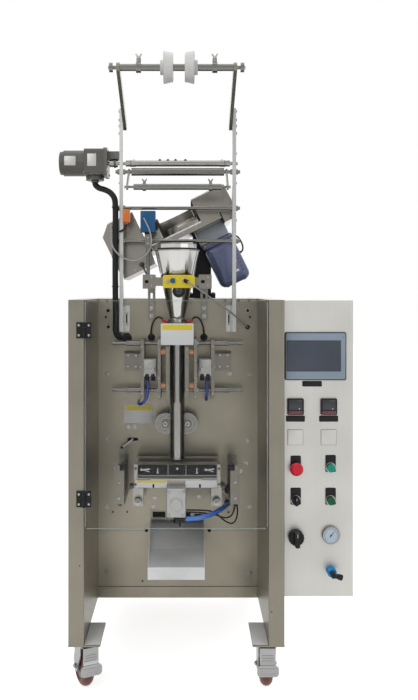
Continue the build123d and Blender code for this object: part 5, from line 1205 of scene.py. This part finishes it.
    def _sensor_details(self) -> None:
        """Caps, lens and gland on the two sensors, and the clamp's screws."""
        sensor = self.shape().panel((-124, 280.6, 1430), (-101, 282.2, 1495), 2.0, 0.4)
        sensor.rod((-114, 282, 1471.5), (-114, 273, 1471.5), 5.0, 3.4, bevel=0.6)
        sensor.finished("mark_sensor_face", BLUE_PLASTIC, slot="blue_plastic")
        nose = self.shape().rod((-101, 306, 1427), (-101, 306, 1419.5), 14, 11, bevel=1.0)
        nose.block((-75.5, 292, 1434), (-68.5, 316, 1462), 1.2)
        nose.finished("mark_sensor_nose", BLACK_PLASTIC)
        switch = self.shape().panel((-184, 287.6, 1462), (-166, 290.2, 1503), 2.0, 0.4)
        switch.rod((-175, 301, 1460), (-175, 301, 1454), 5.0, 4.0, bevel=0.6)
        switch.finished("limit_switch_cover", ORANGE_PLASTIC, slot="orange_plastic")
        clamp = self.shape().screws(FRONT, 4.0, 3.4, (-101, 292.5, 1408), (-101, 292.5, 1388))
        clamp.screws(RIGHT, 4.5, 5.0, (-89.5, 315, 1399))
        clamp.finished("clamp_screws", BOLT_STEEL)


@dataclass
class Filling(Assembly):
    """Forming tube, funnel, drop sensor, its brackets and the tilted tablet feeder."""

    tube_x: float = -1.0
    tube_depth: float = 260.0
    sensor_face: float = 164.0
    lens_place: Pair = (5.5, 1226.3)
    bracket_x: float = 91.0
    tilt: float = 26.0
    feeder: Point = (0.0, 520.0, 1400.0)
    feeder_half: float = 130.0
    disc_centre: float = 45.0
    motor_left: float = 73.0
    motor_right: float = 189.0
    motor_half: float = 58.0

    def build(self) -> None:
        """Builds and dresses the filling line."""
        self.dress(POLISHED, "forming_tube")
        self.dress(FUNNEL_STEEL, "funnel")
        self.dress(GROUND_STEEL, "funnel_brackets")
        self.dress(YELLOW_PLASTIC, "drop_sensor")
        self.dress(FEEDER_STEEL, "feeder_base", "feeder_bowl", "feeder_hopper")
        self.dress(TURNED_FACE, "feeder_disc")
        self.dress(MOTOR_VIOLET, "feeder_motor")
        self.dress(BLACK_PAINT, "feeder_column")
        self._funnel_details()
        self._drop_sensor_details()
        self._bracket_details()
        self._feeder_details()
        self._feeder_motor_details()

    def _tube_ring(self, shape: Shape, z: float, outer: float, inner: float, length: float) -> None:
        """Adds a ring round the forming tube's axis."""
        shape.rings(UP, outer, inner, length, (self.tube_x, self.tube_depth, z))

    def _funnel_details(self) -> None:
        """The funnel's rolled rims, painted shade under its collar, and the tube's clamp screws and
        lower ring.
        """
        rims, collar_shade, clamp = self.shape(), self.shape(), self.shape()
        self._tube_ring(rims, 1359, 76.6, 73.4, 4.0)
        self._tube_ring(rims, 1381, 67.6, 64.6, 3.0)
        self._tube_ring(rims, 1128, 31.2, 24.2, 4.0)
        rims.finished("funnel_rims", POLISHED, slot="polished_steel")
        # A black ring painted as the shade in the gap where the collar meets the funnel's cone.
        self._tube_ring(collar_shade, 1366, 67.4, 64.8, 3.0)
        collar_shade.finished("funnel_collar_shade", BLACK_CABLE)
        for side in SIDES:
            place = (self.tube_x + side * 22, self.tube_depth - 21, 1123)
            clamp.screws((side * 0.7, -0.7, 0), 3.0, 3.0, place)
        self._tube_ring(clamp, 665.4, 24.7, 22.4, 2.0)
        clamp.finished("tube_clamp_screws", BOLT_STEEL)

    def _drop_sensor_details(self) -> None:
        """Screws, a knob, plugs, the lens and a plain plate on the yellow sensor."""
        front = self.sensor_face
        x, z = self.lens_place
        screws = self.shape().rod((-33, front, 1258), (-33, front - 6, 1258), 5.5, bevel=0.8)
        screws.rod((23, front, 1262), (23, front - 5, 1262), 7.0, bevel=0.8)
        screws.finished("drop_sensor_screws", BOLT_STEEL)
        knob = self.shape().rod((-14, front, 1260), (-14, front - 8, 1260), 8.5, bevel=1.2)
        knob.finished("drop_sensor_knob", BLUE_PLASTIC)
        plugs = self.shape().rod((24, front - 4, 1261), (33, front - 14, 1256), 6.0, bevel=1.0)
        plugs.rod((31.5, front, 1257), (31.5, front - 12, 1257), 6.5, 4.0, bevel=0.8)
        plugs.rings(FRONT, 20.6, 13.0, 4.0, (x, front + 5.6, z))
        plugs.finished("drop_sensor_plugs", BLACK_PLASTIC)
        bulge = [(0, 0), (0, 13.2), (1.5, 12.6), (3.0, 8.0), (3.6, 0)]
        lens = self.shape().turned((x, front + 5.8, z), FRONT, bulge)
        lens.finished("drop_sensor_lens", DISPLAY)
        card = self.shape().block((-22, front + 2, 1277.6), (26, front + 22, 1278.4), 0.2)
        card.finished("drop_sensor_card", CARD_WHITE)

    def _bracket_details(self) -> None:
        """Clamp screws, slots and lock nuts on the sensor's two brackets."""
        screws, slots = self.shape(), self.shape()
        for side in SIDES:
            x = side * self.bracket_x
            screws.screws(FRONT, 4.0, 3.6, *grid([x + 8], [176], (1244, 1270)))
            for z in (1168, 1140):
                screws.nut((x, 341, z), FRONT, 6.0, 7.0)
            slots.panel((x - 14, 175.4, 1252), (x - 2, 176.2, 1262), 2.0)
        screws.finished("bracket_screws", BOLT_STEEL)
        slots.finished("bracket_gaps", HOLE_DARK)

    def _tilted(self) -> Shape:
        """Starts a mesh in the feeder's frame: x up the slope, y to the back, z off the disc."""
        turn = Matrix.Rotation(-math.radians(self.tilt), 4, "Y")
        return self.shape(Matrix.Translation(Vector(self.feeder)) @ turn)

    def _feeder_details(self) -> None:
        """Gearbox skin, hopper rims, screws, hopper knob, guards and the disc's trim."""
        front = -self.feeder_half
        gearbox = self._tilted().block((71.2, -65.8, -47.8), (180.8, 65.8, 8.6), 5.0, 3)
        gearbox.finished("gearbox_skin", GEARBOX_GREY)
        rims = self._tilted().block((-100.6, -130.6, 26), (104, -129.6, 32), 0.3)
        rims.block((-233.5, -130.8, 128), (-231.5, 130.8, 132.5), 0.6)
        for y in (-130.8, 128.8):
            rims.block((-199, y, 164), (-100, y + 2.0, 167), 0.6)
        rims.block((105, -131, 112), (228, -129, 116), 0.6)
        rims.finished("feeder_rims", BRIGHT_SHEET)
        screws = self._tilted().screws(FRONT, 4.0, 3.0, *grid((-70, -20, 30, 80), [front], [20]))
        screws.screws(FRONT, 3.5, 2.5, *grid((-220, -180, -140), [front], [-24]))
        screws.screws(FRONT, 3.5, 2.5, *grid((120, 165, 215), [front], [60]))
        screws.finished("feeder_screws", BOLT_STEEL)
        knob = self._tilted().rod((-150, front, -16), (-150, -142, -16), 5.0, bevel=0.8)
        knob.rod((-150, -142, -16), (-150, -152, -16), 9.0, 7.5, bevel=1.5)
        knob.rod((-150, -136, -16), (-150, -136, -60), 3.0, bevel=0.6)
        knob.finished("hopper_knob", DARK_STEEL)
        guard = self._tilted().block((-96, -121, 31), (-40, -118, 74), 0.8)
        guard.block((20, -122, 31), (98, -119.6, 52), 0.8)
        guard.finished("feeder_guard", FEEDER_STEEL, slot="feeder_steel")
        centre = self.disc_centre
        trim = self._tilted().rings(UP, 111.5, 106.5, 1.6, (centre, 0, 44))
        for number in range(3):
            angle = math.radians(30 + number * 120)
            place = (centre + 12 * math.cos(angle), 12 * math.sin(angle), 56)
            trim.screws(UP, 2.4, 1.6, place)
        trim.finished("disc_trim", BOLT_STEEL, "feeder_disc")

    def _feeder_motor_details(self) -> None:
        """The feeder motor's shell, flange, lid, joints, plate, glands and screws, and the column's."""
        left, right, half = self.motor_left, self.motor_right, self.motor_half
        slot = "feeder_motor_blue"
        shell = self._tilted().block((left, -half, -223), (right, half, -61), 24.0, 6)
        shell.block((left + 2, 2 - half, -66), (right - 2, half - 2, -60), 4.0)
        body = shell.finished("feeder_motor_shell", MOTOR_VIOLET, slot=slot)
        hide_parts("feeder_motor")
        flange = self._tilted().block((left, -half, -60), (right, half, -47), 5.0, 3)
        flange.finished("feeder_motor_flange", MOTOR_VIOLET, slot=slot)
        lid = self._tilted().panel((92, -60.5, -196), (164, -57.5, -82), 12.0, 1.4)
        for low in range(-190, -90, 14):
            lid.block((167, -58.8, low), (178, -57.0, low + 6), 0.8)
        lid.finished("feeder_motor_lid", MOTOR_VIOLET, slot=slot)
        bands = self._tilted()
        for low in (-62.4, -60.8):
            bands.block((74.6, -56.6, low), (187.4, 56.6, low + 2.4), 0.8)
        bands.finished("feeder_motor_joints", DARK_STEEL)
        screws = self._tilted().screws(DOWN, 4.0, 3.0, *grid((98, 164), (-32.2, 32.2), [-222]))
        screws.screws(FRONT, 3.4, 2.6, *grid((82, 180), [-half], [-54]))
        screws.finished("feeder_motor_screws", BOLT_STEEL)
        plate = self._tilted().block((140, -60.9, -186), (156, -60.2, -178), 0.2)
        plate.finished("feeder_motor_plate", BRIGHT_SHEET)
        glands = self._tilted()
        for z in (-61, -127):
            glands.rod((188.6, -14, z), (195, -14, z), 6.0, 4.6, bevel=0.8)
        glands.finished("feeder_motor_glands", BLACK_PLASTIC)
        foot = self.shape().screws(UP, 5.0, 4.0, *grid((44, 132), (581, 659), [1218]))
        foot.finished("column_screws", BOLT_STEEL)


@dataclass
class Sealing(Assembly):
    """Both sealing units, the pull wheels, the knife cylinder and their leads."""

    panel: float = 345.0
    guide_depth: float = 300.0
    guide_heights: Pair = (1049.0, 890.0)
    bar_face: float = 203.0
    bar_depth: float = 218.0
    bar_x: float = 31.5
    head_face: float = 245.6
    lead_z: float = 1123.0
    wheel_z: float = 776.0
    wheel_radii: tuple[float, ...] = (34.6, 30.0, 24.0, 18.5)
    jaw_half: float = 129.0
    heater_face: float = 193.6
    jaw_rod_x: float = 128.0
    jaw_rod_z: float = 540.0
    rail_x: float = 190.0
    rail_screws: tuple[float, ...] = (548, 600, 640)
    knife_face: float = 161.7
    loom_ties: tuple[float, ...] = (1510, 1440, 1340, 1240)

    def build(self) -> None:
        """Builds and dresses the sealing units."""
        self.dress(ROD_STEEL, "guide_rods", "jaw_rods")
        self.dress(GROUND_STEEL, "seal_plates", "jaw_rails", "left_seal_bar", "right_seal_bar")
        self.dress(JAW_STEEL, "front_jaw", "rear_jaw")
        self.dress(ALUMINIUM, "seal_cylinders", "knife_cylinder")
        self.dress(WHEEL_STEEL, "left_pull_wheel", "right_pull_wheel")
        self._cylinders()
        self._bars()
        self._rods_and_plates()
        self._grommets()
        self._wheels()
        self._heater()
        self._jaw_plates()
        self._rails()
        self._knife()
        self._leads()

    def _cylinders(self) -> None:
        """Heads, screws and black fittings of the two vertical sealing cylinders."""
        heads, screws, fittings = self.shape(), self.shape(), self.shape()
        for near, far in ((-112.0, -72.0), (72.0, 112.0)):
            heads.block((near, self.head_face, 956), (far, 248.4, 997), 0.8)
            for x in (near + 10, far - 10):
                screws.screws(FRONT, 6.5, 3.0, (x, self.head_face, 965))
                fittings.rod((x, 262, 941), (x, 262, 927), 7.0, bevel=1.2)
                fittings.block((x - 6.5, 247, 938), (x + 6.5, 268, 950), 1.5)
                fittings.rod((x, 262, 930), (x, 262, 926), 8.4, bevel=1.0)
        heads.finished("cylinder_heads", ALUMINIUM, slot="bright_aluminium")
        screws.finished("cylinder_screws", BOLT_STEEL)
        fittings.finished("cylinder_fittings", BLACK_PLASTIC)

    def _bars(self) -> None:
        """Spacer sleeves, screws, bushes and lead plugs on the two moving sealing bars."""
        for name, side in (("left", -1), ("right", 1)):
            body, out = f"{name}_seal", (side, 0, 0)
            bar = side * self.bar_x
            sleeves, heads, plug = self.shape(), self.shape(), self.shape()
            sleeves.rings(out, 11.0, 8.0, 15.6, *grid([side * 38.4], [self.bar_depth], (1025, 914)))
            sleeves.finished(f"{name}_seal_sleeves", COPPER_ORANGE, body)
            plate = grid([side * 59.5], [self.bar_face], (1060, 1000, 940, 880))
            heads.screws(FRONT, 3.2, 2.4, *plate)
            heads.screws(FRONT, 3.0, 2.2, *grid([bar], [self.bar_face], (1034, 905)))
            bushes = grid([side * 65], [self.guide_depth], self.guide_heights)
            heads.rings(out, 11.0, 6.3, 5.0, *bushes)
            heads.finished(f"{name}_seal_screws", BOLT_STEEL, body)
            foot, tip = (bar, self.bar_depth, 1045.6), (bar, self.bar_depth, 1052)
            plug.rod(foot, tip, 4.0, 3.0, bevel=0.5)
            plug.finished(f"{name}_seal_plug", RED_PLASTIC, body)

    def _rods_and_plates(self) -> None:
        """Collars and screws of the fixed guide rods and plates."""
        screws, collars = self.shape(), self.shape()
        for side in SIDES:
            out = (side, 0, 0)
            for z in self.guide_heights:
                collars.rings(out, 10.0, 6.2, 5.0, (side * 169, self.guide_depth, z))
                collars.rings(out, 7.2, 6.0, 6.0, (side * 216, self.guide_depth, z))
            brackets = grid((side * 145, side * 172), [337], (966, 1004))
            screws.screws(FRONT, 4.5, 4.0, *brackets)
            screws.screws(FRONT, 4.0, 3.4, *grid([side * 118.5], [265], (882, 1040)))
            screws.screws(out, 4.5, 4.0, (side * 124.5, 290, 968))
        collars.finished("guide_rod_collars", ROD_STEEL)
        screws.finished("seal_plate_screws", BOLT_STEEL)

    def _grommets(self) -> None:
        """Rubber cones where leads meet the panel, and the red sleeves at the tube's collar."""
        cones, sleeves = self.shape(), self.shape()
        for x in (-92, 90):
            cone = [(0, 0), (0, 13), (3, 12), (13, 5), (15, 0)]
            cones.turned((x, self.panel, 1066), FRONT, cone)
        plug = [(0, 0), (0, 17), (3, 16), (8, 11), (8, 0)]
        cones.turned((-176.5, self.panel, 1064), FRONT, plug)
        cones.turned((242, self.panel, 1101.5), FRONT, [(0, 0), (0, 8), (2, 7), (5, 4), (5, 0)])
        cones.finished("panel_grommets", BLACK_CABLE)
        for side in SIDES:
            x, z = side * 31 - 1, self.lead_z
            sleeves.rod((x, 260, z), (x + side * 10, 260.4, z + 0.4), 4.4, bevel=0.8)
            bend, end = (x + side * 9, 260.4, z + 0.2), (x + side * 20, 269.5, z + 6.4)
            sleeves.rod(bend, end, 4.2, 3.6, bevel=0.6)
        sleeves.finished("seal_lead_sleeves", RED_PLASTIC, slot="red_plastic")

    def _wheels(self) -> None:
        """Raised rings and centre screws on the faces of the pull wheels."""
        for side, x in (("left", -41.75), ("right", 32.75)):
            face = self.shape()
            for radius in self.wheel_radii:
                face.rings(FRONT, radius, radius - 1.6, 0.7, (x, 292, self.wheel_z))
            face.screws(FRONT, 9.0, 5.0, (x, 286.4, self.wheel_z))
            face.finished(f"{side}_wheel_face", BOLT_STEEL, f"{side}_pull_wheel")

    def _heater(self) -> None:
        """The front jaw's black heater bar with its clips, light strip and dark strip."""
        wide, face = self.jaw_half, self.heater_face
        bar = self.shape().block((-wide, face, 625), (wide, 198.0, 659), 2.4, 3)
        bar.finished("heater_bar", BLACK_PAINT, "front_jaw")
        clips = self.shape()
        for side in SIDES:
            x, middle = side * 105, side * 64
            clips.rod((x - 16, 192.4, 642), (x + 16, 192.4, 646), 3.0, bevel=0.6)
            clips.rod((x - 16, 192.6, 646), (x + 14, 192.6, 637), 2.4, bevel=0.6)
            clips.block((middle - 2, 191.6, 633), (middle + 2, 194, 650), 0.8)
            clips.block((middle - 3.5, 191.0, 631), (middle + 3.5, 194, 636), 0.8)
        clips.screws(FRONT, 4.0, 3.0, (0, face, 647))
        for left, right in ((-31, -29.4), (27.4, 29)):
            clips.block((left, 192.8, 623), (right, 194.2, 660), 0.3)
        clips.finished("heater_clips", BOLT_STEEL, "front_jaw")
        strip = self.shape().block((-88, 195.2, 608.5), (80, 198.2, 613), 0.8)
        strip.finished("insulation_strip", CREAM, "front_jaw")
        shadow = self.shape().block((-wide, 197.4, 614), (wide, 199.0, 622), 0.5)
        shadow.finished("jaw_shadow_strip", DARK_STEEL, "front_jaw")

    def _jaw_plates(self) -> None:
        """The front jaw's cover plates, band, notches and side blocks, and both jaws' screws."""
        plates, notches, side_screws = self.shape(), self.shape(), self.shape()
        for left, right in ((-137, -34), (26, 129)):
            plates.panel((left, 195.2, 584), (right, 197.8, 608), 1.5, 0.5)
        plates.finished("jaw_cover_plates", CARD_WHITE, "front_jaw")
        band = self.shape().panel((-133, 194.8, 600), (-36, 195.3, 607), 0.8)
        band.finished("jaw_plate_band", CARD_YELLOW, "front_jaw")
        for x in (-78, 74):
            notches.panel((x - 3, 194.6, 584), (x + 3, 195.3, 596), 2.4)
        notches.finished("jaw_plate_notches", HOLE_DARK, "front_jaw")
        for side in SIDES:
            side_screws.screws(FRONT, 3.6, 3.0, *grid([side * 136], [195.7], (595, 646)))
            x = side * 149
            side_screws.block((x - 8.6, 197, 579), (x + 8.0, 233, 590), 1.0)
        side_screws.finished("jaw_side_screws", DARK_STEEL, "front_jaw")
        rear = self.shape().screws(BACK, 4.5, 3.6, *grid((-90, -30, 30, 90), [324.3], [621]))
        rear.finished("rear_jaw_screws", BOLT_STEEL, "rear_jaw")

    def _rails(self) -> None:
        """Black stop blocks and knobs, rail screws, rod nuts, and springs on the jaw rods."""
        blocks, screws, springs = self.shape(), self.shape(), self.shape()
        for side in SIDES:
            rail = [side * self.rail_x]
            blocks.block((side * 166, 180.4, 643), (side * 187, 200.6, 662), 1.5)
            screws.screws(FRONT, 4.2, 3.6, *grid(rail, [200], self.rail_screws))
            screws.screws(FRONT, 4.2, 3.6, *grid(rail, [342], [z - 12 for z in self.rail_screws]))
            screws.nut((side * self.jaw_rod_x, 177.7, self.jaw_rod_z), FRONT, 9.0, 8.0)
            turns = [244 + number * 4.4 for number in range(9)]
            coils = grid([side * self.jaw_rod_x], turns, [self.jaw_rod_z])
            springs.rings(BACK, 11.6, 9.2, 1.8, *coils)
        blocks.rod((173, self.panel, 540), (173, 325, 540), 13.0, bevel=2.5)
        blocks.rod((151, self.panel, 551), (151, 322, 551), 10.0, bevel=2.0)
        blocks.finished("rail_stops", BLACK_PLASTIC)
        screws.finished("rail_screws", BOLT_STEEL)
        springs.finished("rod_springs", ROD_STEEL)

    def _knife(self) -> None:
        """The knife cylinder's corner screws, face ring, ribs and black fitting."""
        face = self.knife_face
        screws = self.shape().screws(FRONT, 5.2, 3.2, *grid((-27.5, 21.5), [face], (504, 582)))
        screws.rings(FRONT, 20.0, 17.0, 0.8, (-3, face - 3, 536.5))
        screws.finished("knife_screws", BOLT_STEEL, "front_jaw")
        ribs = self.shape()
        for x in (-26, -14, 8, 20):
            ribs.block((x - 1.4, 160.6, 560), (x + 1.4, 162.4, 584), 0.5)
        ribs.finished("knife_ribs", ALUMINIUM, "front_jaw", "bright_aluminium")
        fitting = self.shape().rod((0, 178.7, 495.5), (0, 178.7, 476), 11.8, bevel=1.8)
        fitting.block((-0.5, 169.0, 478.4), (23.6, 188.4, 496.4), 1.6)
        fitting.rod((18, 178.7, 488), (27, 178.7, 488), 10.8, bevel=1.2)
        fitting.rod((7, 186, 482), (8, 200, 458), 4.0, bevel=0.8)
        fitting.finished("knife_fitting", BLACK_PLASTIC, "front_jaw", "black_plastic")

    def _leads(self) -> None:
        """The knife's hose and two leads, the loom's ties, and the finishes of the other leads."""
        self.dress(LOOM_SLEEVE, "black_cables")
        self.dress(GREY_CABLE, "sensor_leads")
        self.dress(VIOLET_HOSE, "air_tubes")
        hose = moved(
            [(0, 0, 0), (22, 0, 0), (49, 5, 1), (77, 17, 4), (101, 37, 8), (121, 61, 12),
             (136, 87, 14)],
            23.0, 178.7, 487.8,
        )
        hose += moved([(-3, -51, 8), (0, -27, 0), (0, 0, 0)], 172.0, 348.0, 492.0)
        piece = self.cord("knife_hose", hose, 16.0, BLUE_HOSE, "front_jaw")
        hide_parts("jaw_leads")
        first = moved(
            [(0, 0, 0), (20, 0, 0), (48, 10, -5), (76, 24, -12), (94, 44, -21), (110, 60, -31),
             (125, 72, -40), (140, 82, -44), (153, 94, -41), (162, 108, -31)],
            28.5, 189.7, 506.0,
        )
        first += moved([(-2, -32, -5), (0, -15, 0), (0, 0, 0)], 197.0, 348.0, 492.0)
        self.cord("first_knife_lead", first, 5.0, BLACK_CABLE, "front_jaw")
        second = moved(
            [(0, 0, 0), (21, 0, 0), (48, 12, -4), (72, 28, -10), (90, 47, -20), (105, 63, -34),
             (121, 73, -51), (138, 81, -66), (155, 88, -73), (167, 95, -67), (174, 103, -51)],
            28.5, 192.7, 512.0,
        )
        second += moved([(2, -39, -16), (1, -28, -4), (0, -14, 0), (0, 0, 0)], 203.0, 348.0, 492.0)
        self.cord("second_knife_lead", second, 5.0, BLACK_CABLE, "front_jaw")
        ties = self.shape().rings(UP, 12.2, 10.2, 4.0, *grid([-212.8], [299.5], self.loom_ties))
        ties.block((-204, 296, 1505), (-199.6, 330, 1509), 0.5)
        ties.finished("loom_ties", BLACK_PLASTIC)


@dataclass
class Casters(Assembly):
    """The four casters: forks, wheels, and their nuts and hub covers."""

    x: float = 277.0
    front_depth: float = 64.0
    rear_depth: float = 756.0
    left_turn: float = 25.0
    trail: float = 30.0
    axle_z: float = 62.5
    half: float = 31.0

    def build(self) -> None:
        """Builds and dresses the casters."""
        self.dress(ZINC, "left_caster_fork", "right_caster_fork", "rear_caster_forks")
        self.dress(TREAD, "left_caster_wheel", "right_caster_wheel", "rear_caster_wheels")
        for name, side, turn in (("left", -1, self.left_turn), ("right", 1, 0.0)):
            frame = self._frame(side * self.x, self.front_depth, turn)
            self._fork_details(f"{name}_caster_fork", [frame], f"{name}_caster_fork")
            self._pedal_pad(f"{name}_caster_fork", frame)
            self._hub(f"{name}_caster_wheel", frame)
        rear = [self._frame(side * self.x, self.rear_depth, 0.0) for side in SIDES]
        self._fork_details("rear_casters", rear, "root")

    def _frame(self, x: float, depth: float, turn: float) -> Matrix:
        """Returns a caster's frame at the floor: its x runs forward from the swivel axis."""
        forward = Matrix.Rotation(-math.pi / 2 + math.radians(turn), 4, "Z")
        return Matrix.Translation((x, depth, 0.0)) @ forward

    def _fork_details(self, name: str, frames: list[Matrix], body: str) -> None:
        """Axle nuts and swivel rings of one or more casters.

        Args:
            name: what the piece's name starts with.
            frames: the casters' frames.
            body: the body that the piece rides on.
        """
        nuts = self.shape()
        for frame in frames:
            nuts.turn = frame
            for side in SIDES:
                place = (-self.trail, side * (self.half - 4), self.axle_z)
                nuts.nut(place, (0, side, 0), 7.5, 6.0)
            nuts.rings(UP, 29.0, 18.0, 4.0, (0, 0, 146))
        nuts.finished(f"{name}_nuts", BOLT_STEEL, body)

    def _pedal_pad(self, body: str, frame: Matrix) -> None:
        """The brake pedal's pad with its ribs.

        Args:
            body: the fork that it rides on.
            frame: the caster's frame.
        """
        pad = self.shape(frame).block((47.6, -30, 64), (50.2, 30, 86), 1.0)
        for z in (66, 72, 78, 84):
            pad.block((49.4, -24, z - 1), (51.0, 24, z + 1), 0.5)
        pad.finished(f"{body}_pedal_pad", ZINC, body, "zinc_plate")

    def _hub(self, body: str, frame: Matrix) -> None:
        """The pale web rings on both sides of a front wheel.

        Args:
            body: the wheel that they ride on.
            frame: the caster's frame.
        """
        hub = self.shape(frame)
        for side in SIDES:
            out = (0, side, 0)
            hub.rings(out, 38.0, 21.5, 1.4, (-self.trail, side * 13.2, self.axle_z))
            hub.rings(out, 14.0, 5.2, 1.2, (-self.trail, side * 19.0, self.axle_z))
        hub.finished(f"{body}_web", HUB_GREY, body)


@dataclass
class Studio:
    """Camera, lamps, floor and background."""

    datum: Datum
    camera: Point = (35.0, -2200.0, 1228.0)
    lens: float = 37.71
    shift: Pair = (0.030, -0.0849)
    target: Point = (100.0, 300.0, 1000.0)
    diffuse_level: float = 0.45
    floor_size: float = 14.0
    floor_glow: float = 0.72

    def build(self) -> None:
        """Builds the studio."""
        self._camera()
        self._world()
        self._floor()
        for name, place, size, power, colour in (
            ("key", (-1900.0, -2600.0, 3100.0), 2.6, 46.0, (1.0, 0.985, 0.96)),
            ("fill", (2400.0, -2300.0, 2100.0), 3.0, 25.0, (0.97, 0.985, 1.0)),
            ("top", (0.0, 300.0, 4200.0), 3.4, 34.0, (1.0, 1.0, 1.0)),
            ("back", (600.0, 3400.0, 2600.0), 3.0, 28.0, (1.0, 1.0, 1.0)),
        ):
            self._lamp(name, place, size, power, colour)

    def _camera(self) -> None:
        """The photograph's camera: level, square to the machine, with its own shift."""
        data = bpy.data.cameras.new("camera")
        data.lens = self.lens
        data.sensor_width = 36.0
        data.shift_x, data.shift_y = self.shift
        data.clip_end = 60.0
        camera = bpy.data.objects.new("camera", data)
        camera.location = self.datum.place(self.camera)
        camera.rotation_euler = (math.pi / 2, 0.0, 0.0)
        bpy.context.scene.collection.objects.link(camera)
        bpy.context.scene.camera = camera

    def _lamp(self, name: str, place: Point, size: float, power: float, colour: Colour) -> None:
        """Adds a soft square lamp that looks at the machine's middle.

        Args:
            name: its name.
            place: where it stands.
            size: the length of its side in metres.
            power: its power in watts.
            colour: its colour.
        """
        data = bpy.data.lights.new(name, "AREA")
        data.size = size
        data.energy = power
        data.color = colour
        lamp = bpy.data.objects.new(name, data)
        lamp.location = self.datum.place(place)
        aim = self.datum.place(self.target) - lamp.location
        lamp.rotation_euler = aim.to_track_quat("-Z", "Y").to_euler()
        bpy.context.scene.collection.objects.link(lamp)

    def _world(self) -> None:
        """White for the camera, gloss and glass, and a softer level for diffuse light."""
        world = bpy.data.worlds.new("studio")
        world.use_nodes = True
        wiring = Wiring(world.node_tree)
        background = world.node_tree.nodes["Background"].inputs
        level = wiring.mapped(wiring.seen(), self.diffuse_level, 1.0)
        wiring.link(level, background["Strength"])
        background["Color"].default_value = (1.0, 1.0, 1.0, 1.0)
        bpy.context.scene.world = world

    def _floor(self) -> None:
        """A pale floor that keeps the machine's shadow and reads as white."""
        mesh = bmesh.new()
        bmesh.ops.create_grid(mesh, x_segments=1, y_segments=1, size=self.floor_size)
        data = bpy.data.meshes.new("floor")
        mesh.to_mesh(data)
        mesh.free()
        material = bpy.data.materials.new("floor_white")
        material.use_nodes = True
        wiring = Wiring(material.node_tree)
        shader = material.node_tree.nodes["Principled BSDF"].inputs
        shader["Base Color"].default_value = (0.82, 0.82, 0.82, 1.0)
        shader["Roughness"].default_value = 0.85
        shader["Specular IOR Level"].default_value = 0.1
        shader["Emission Color"].default_value = (1.0, 1.0, 1.0, 1.0)
        glow = wiring.mapped(wiring.seen(), 0.0, self.floor_glow)
        wiring.link(glow, shader["Emission Strength"])
        data.materials.append(material)
        floor = bpy.data.objects.new("floor", data)
        bpy.context.scene.collection.objects.link(floor)


def main() -> None:
    """Builds every assembly in order."""
    logging.basicConfig(level=logging.INFO, format="%(name)s: %(message)s")
    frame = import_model()
    datum = Datum.measured()
    for kind in (Cabinet, ControlBox, FilmFrame, Filling, Sealing, Casters, Studio):
        kind(datum).build()
        log.info("%s is done", kind.__name__)
    scene = bpy.context.scene
    scene.view_settings.view_transform = "Standard"


if __name__ == "__main__":
    main()
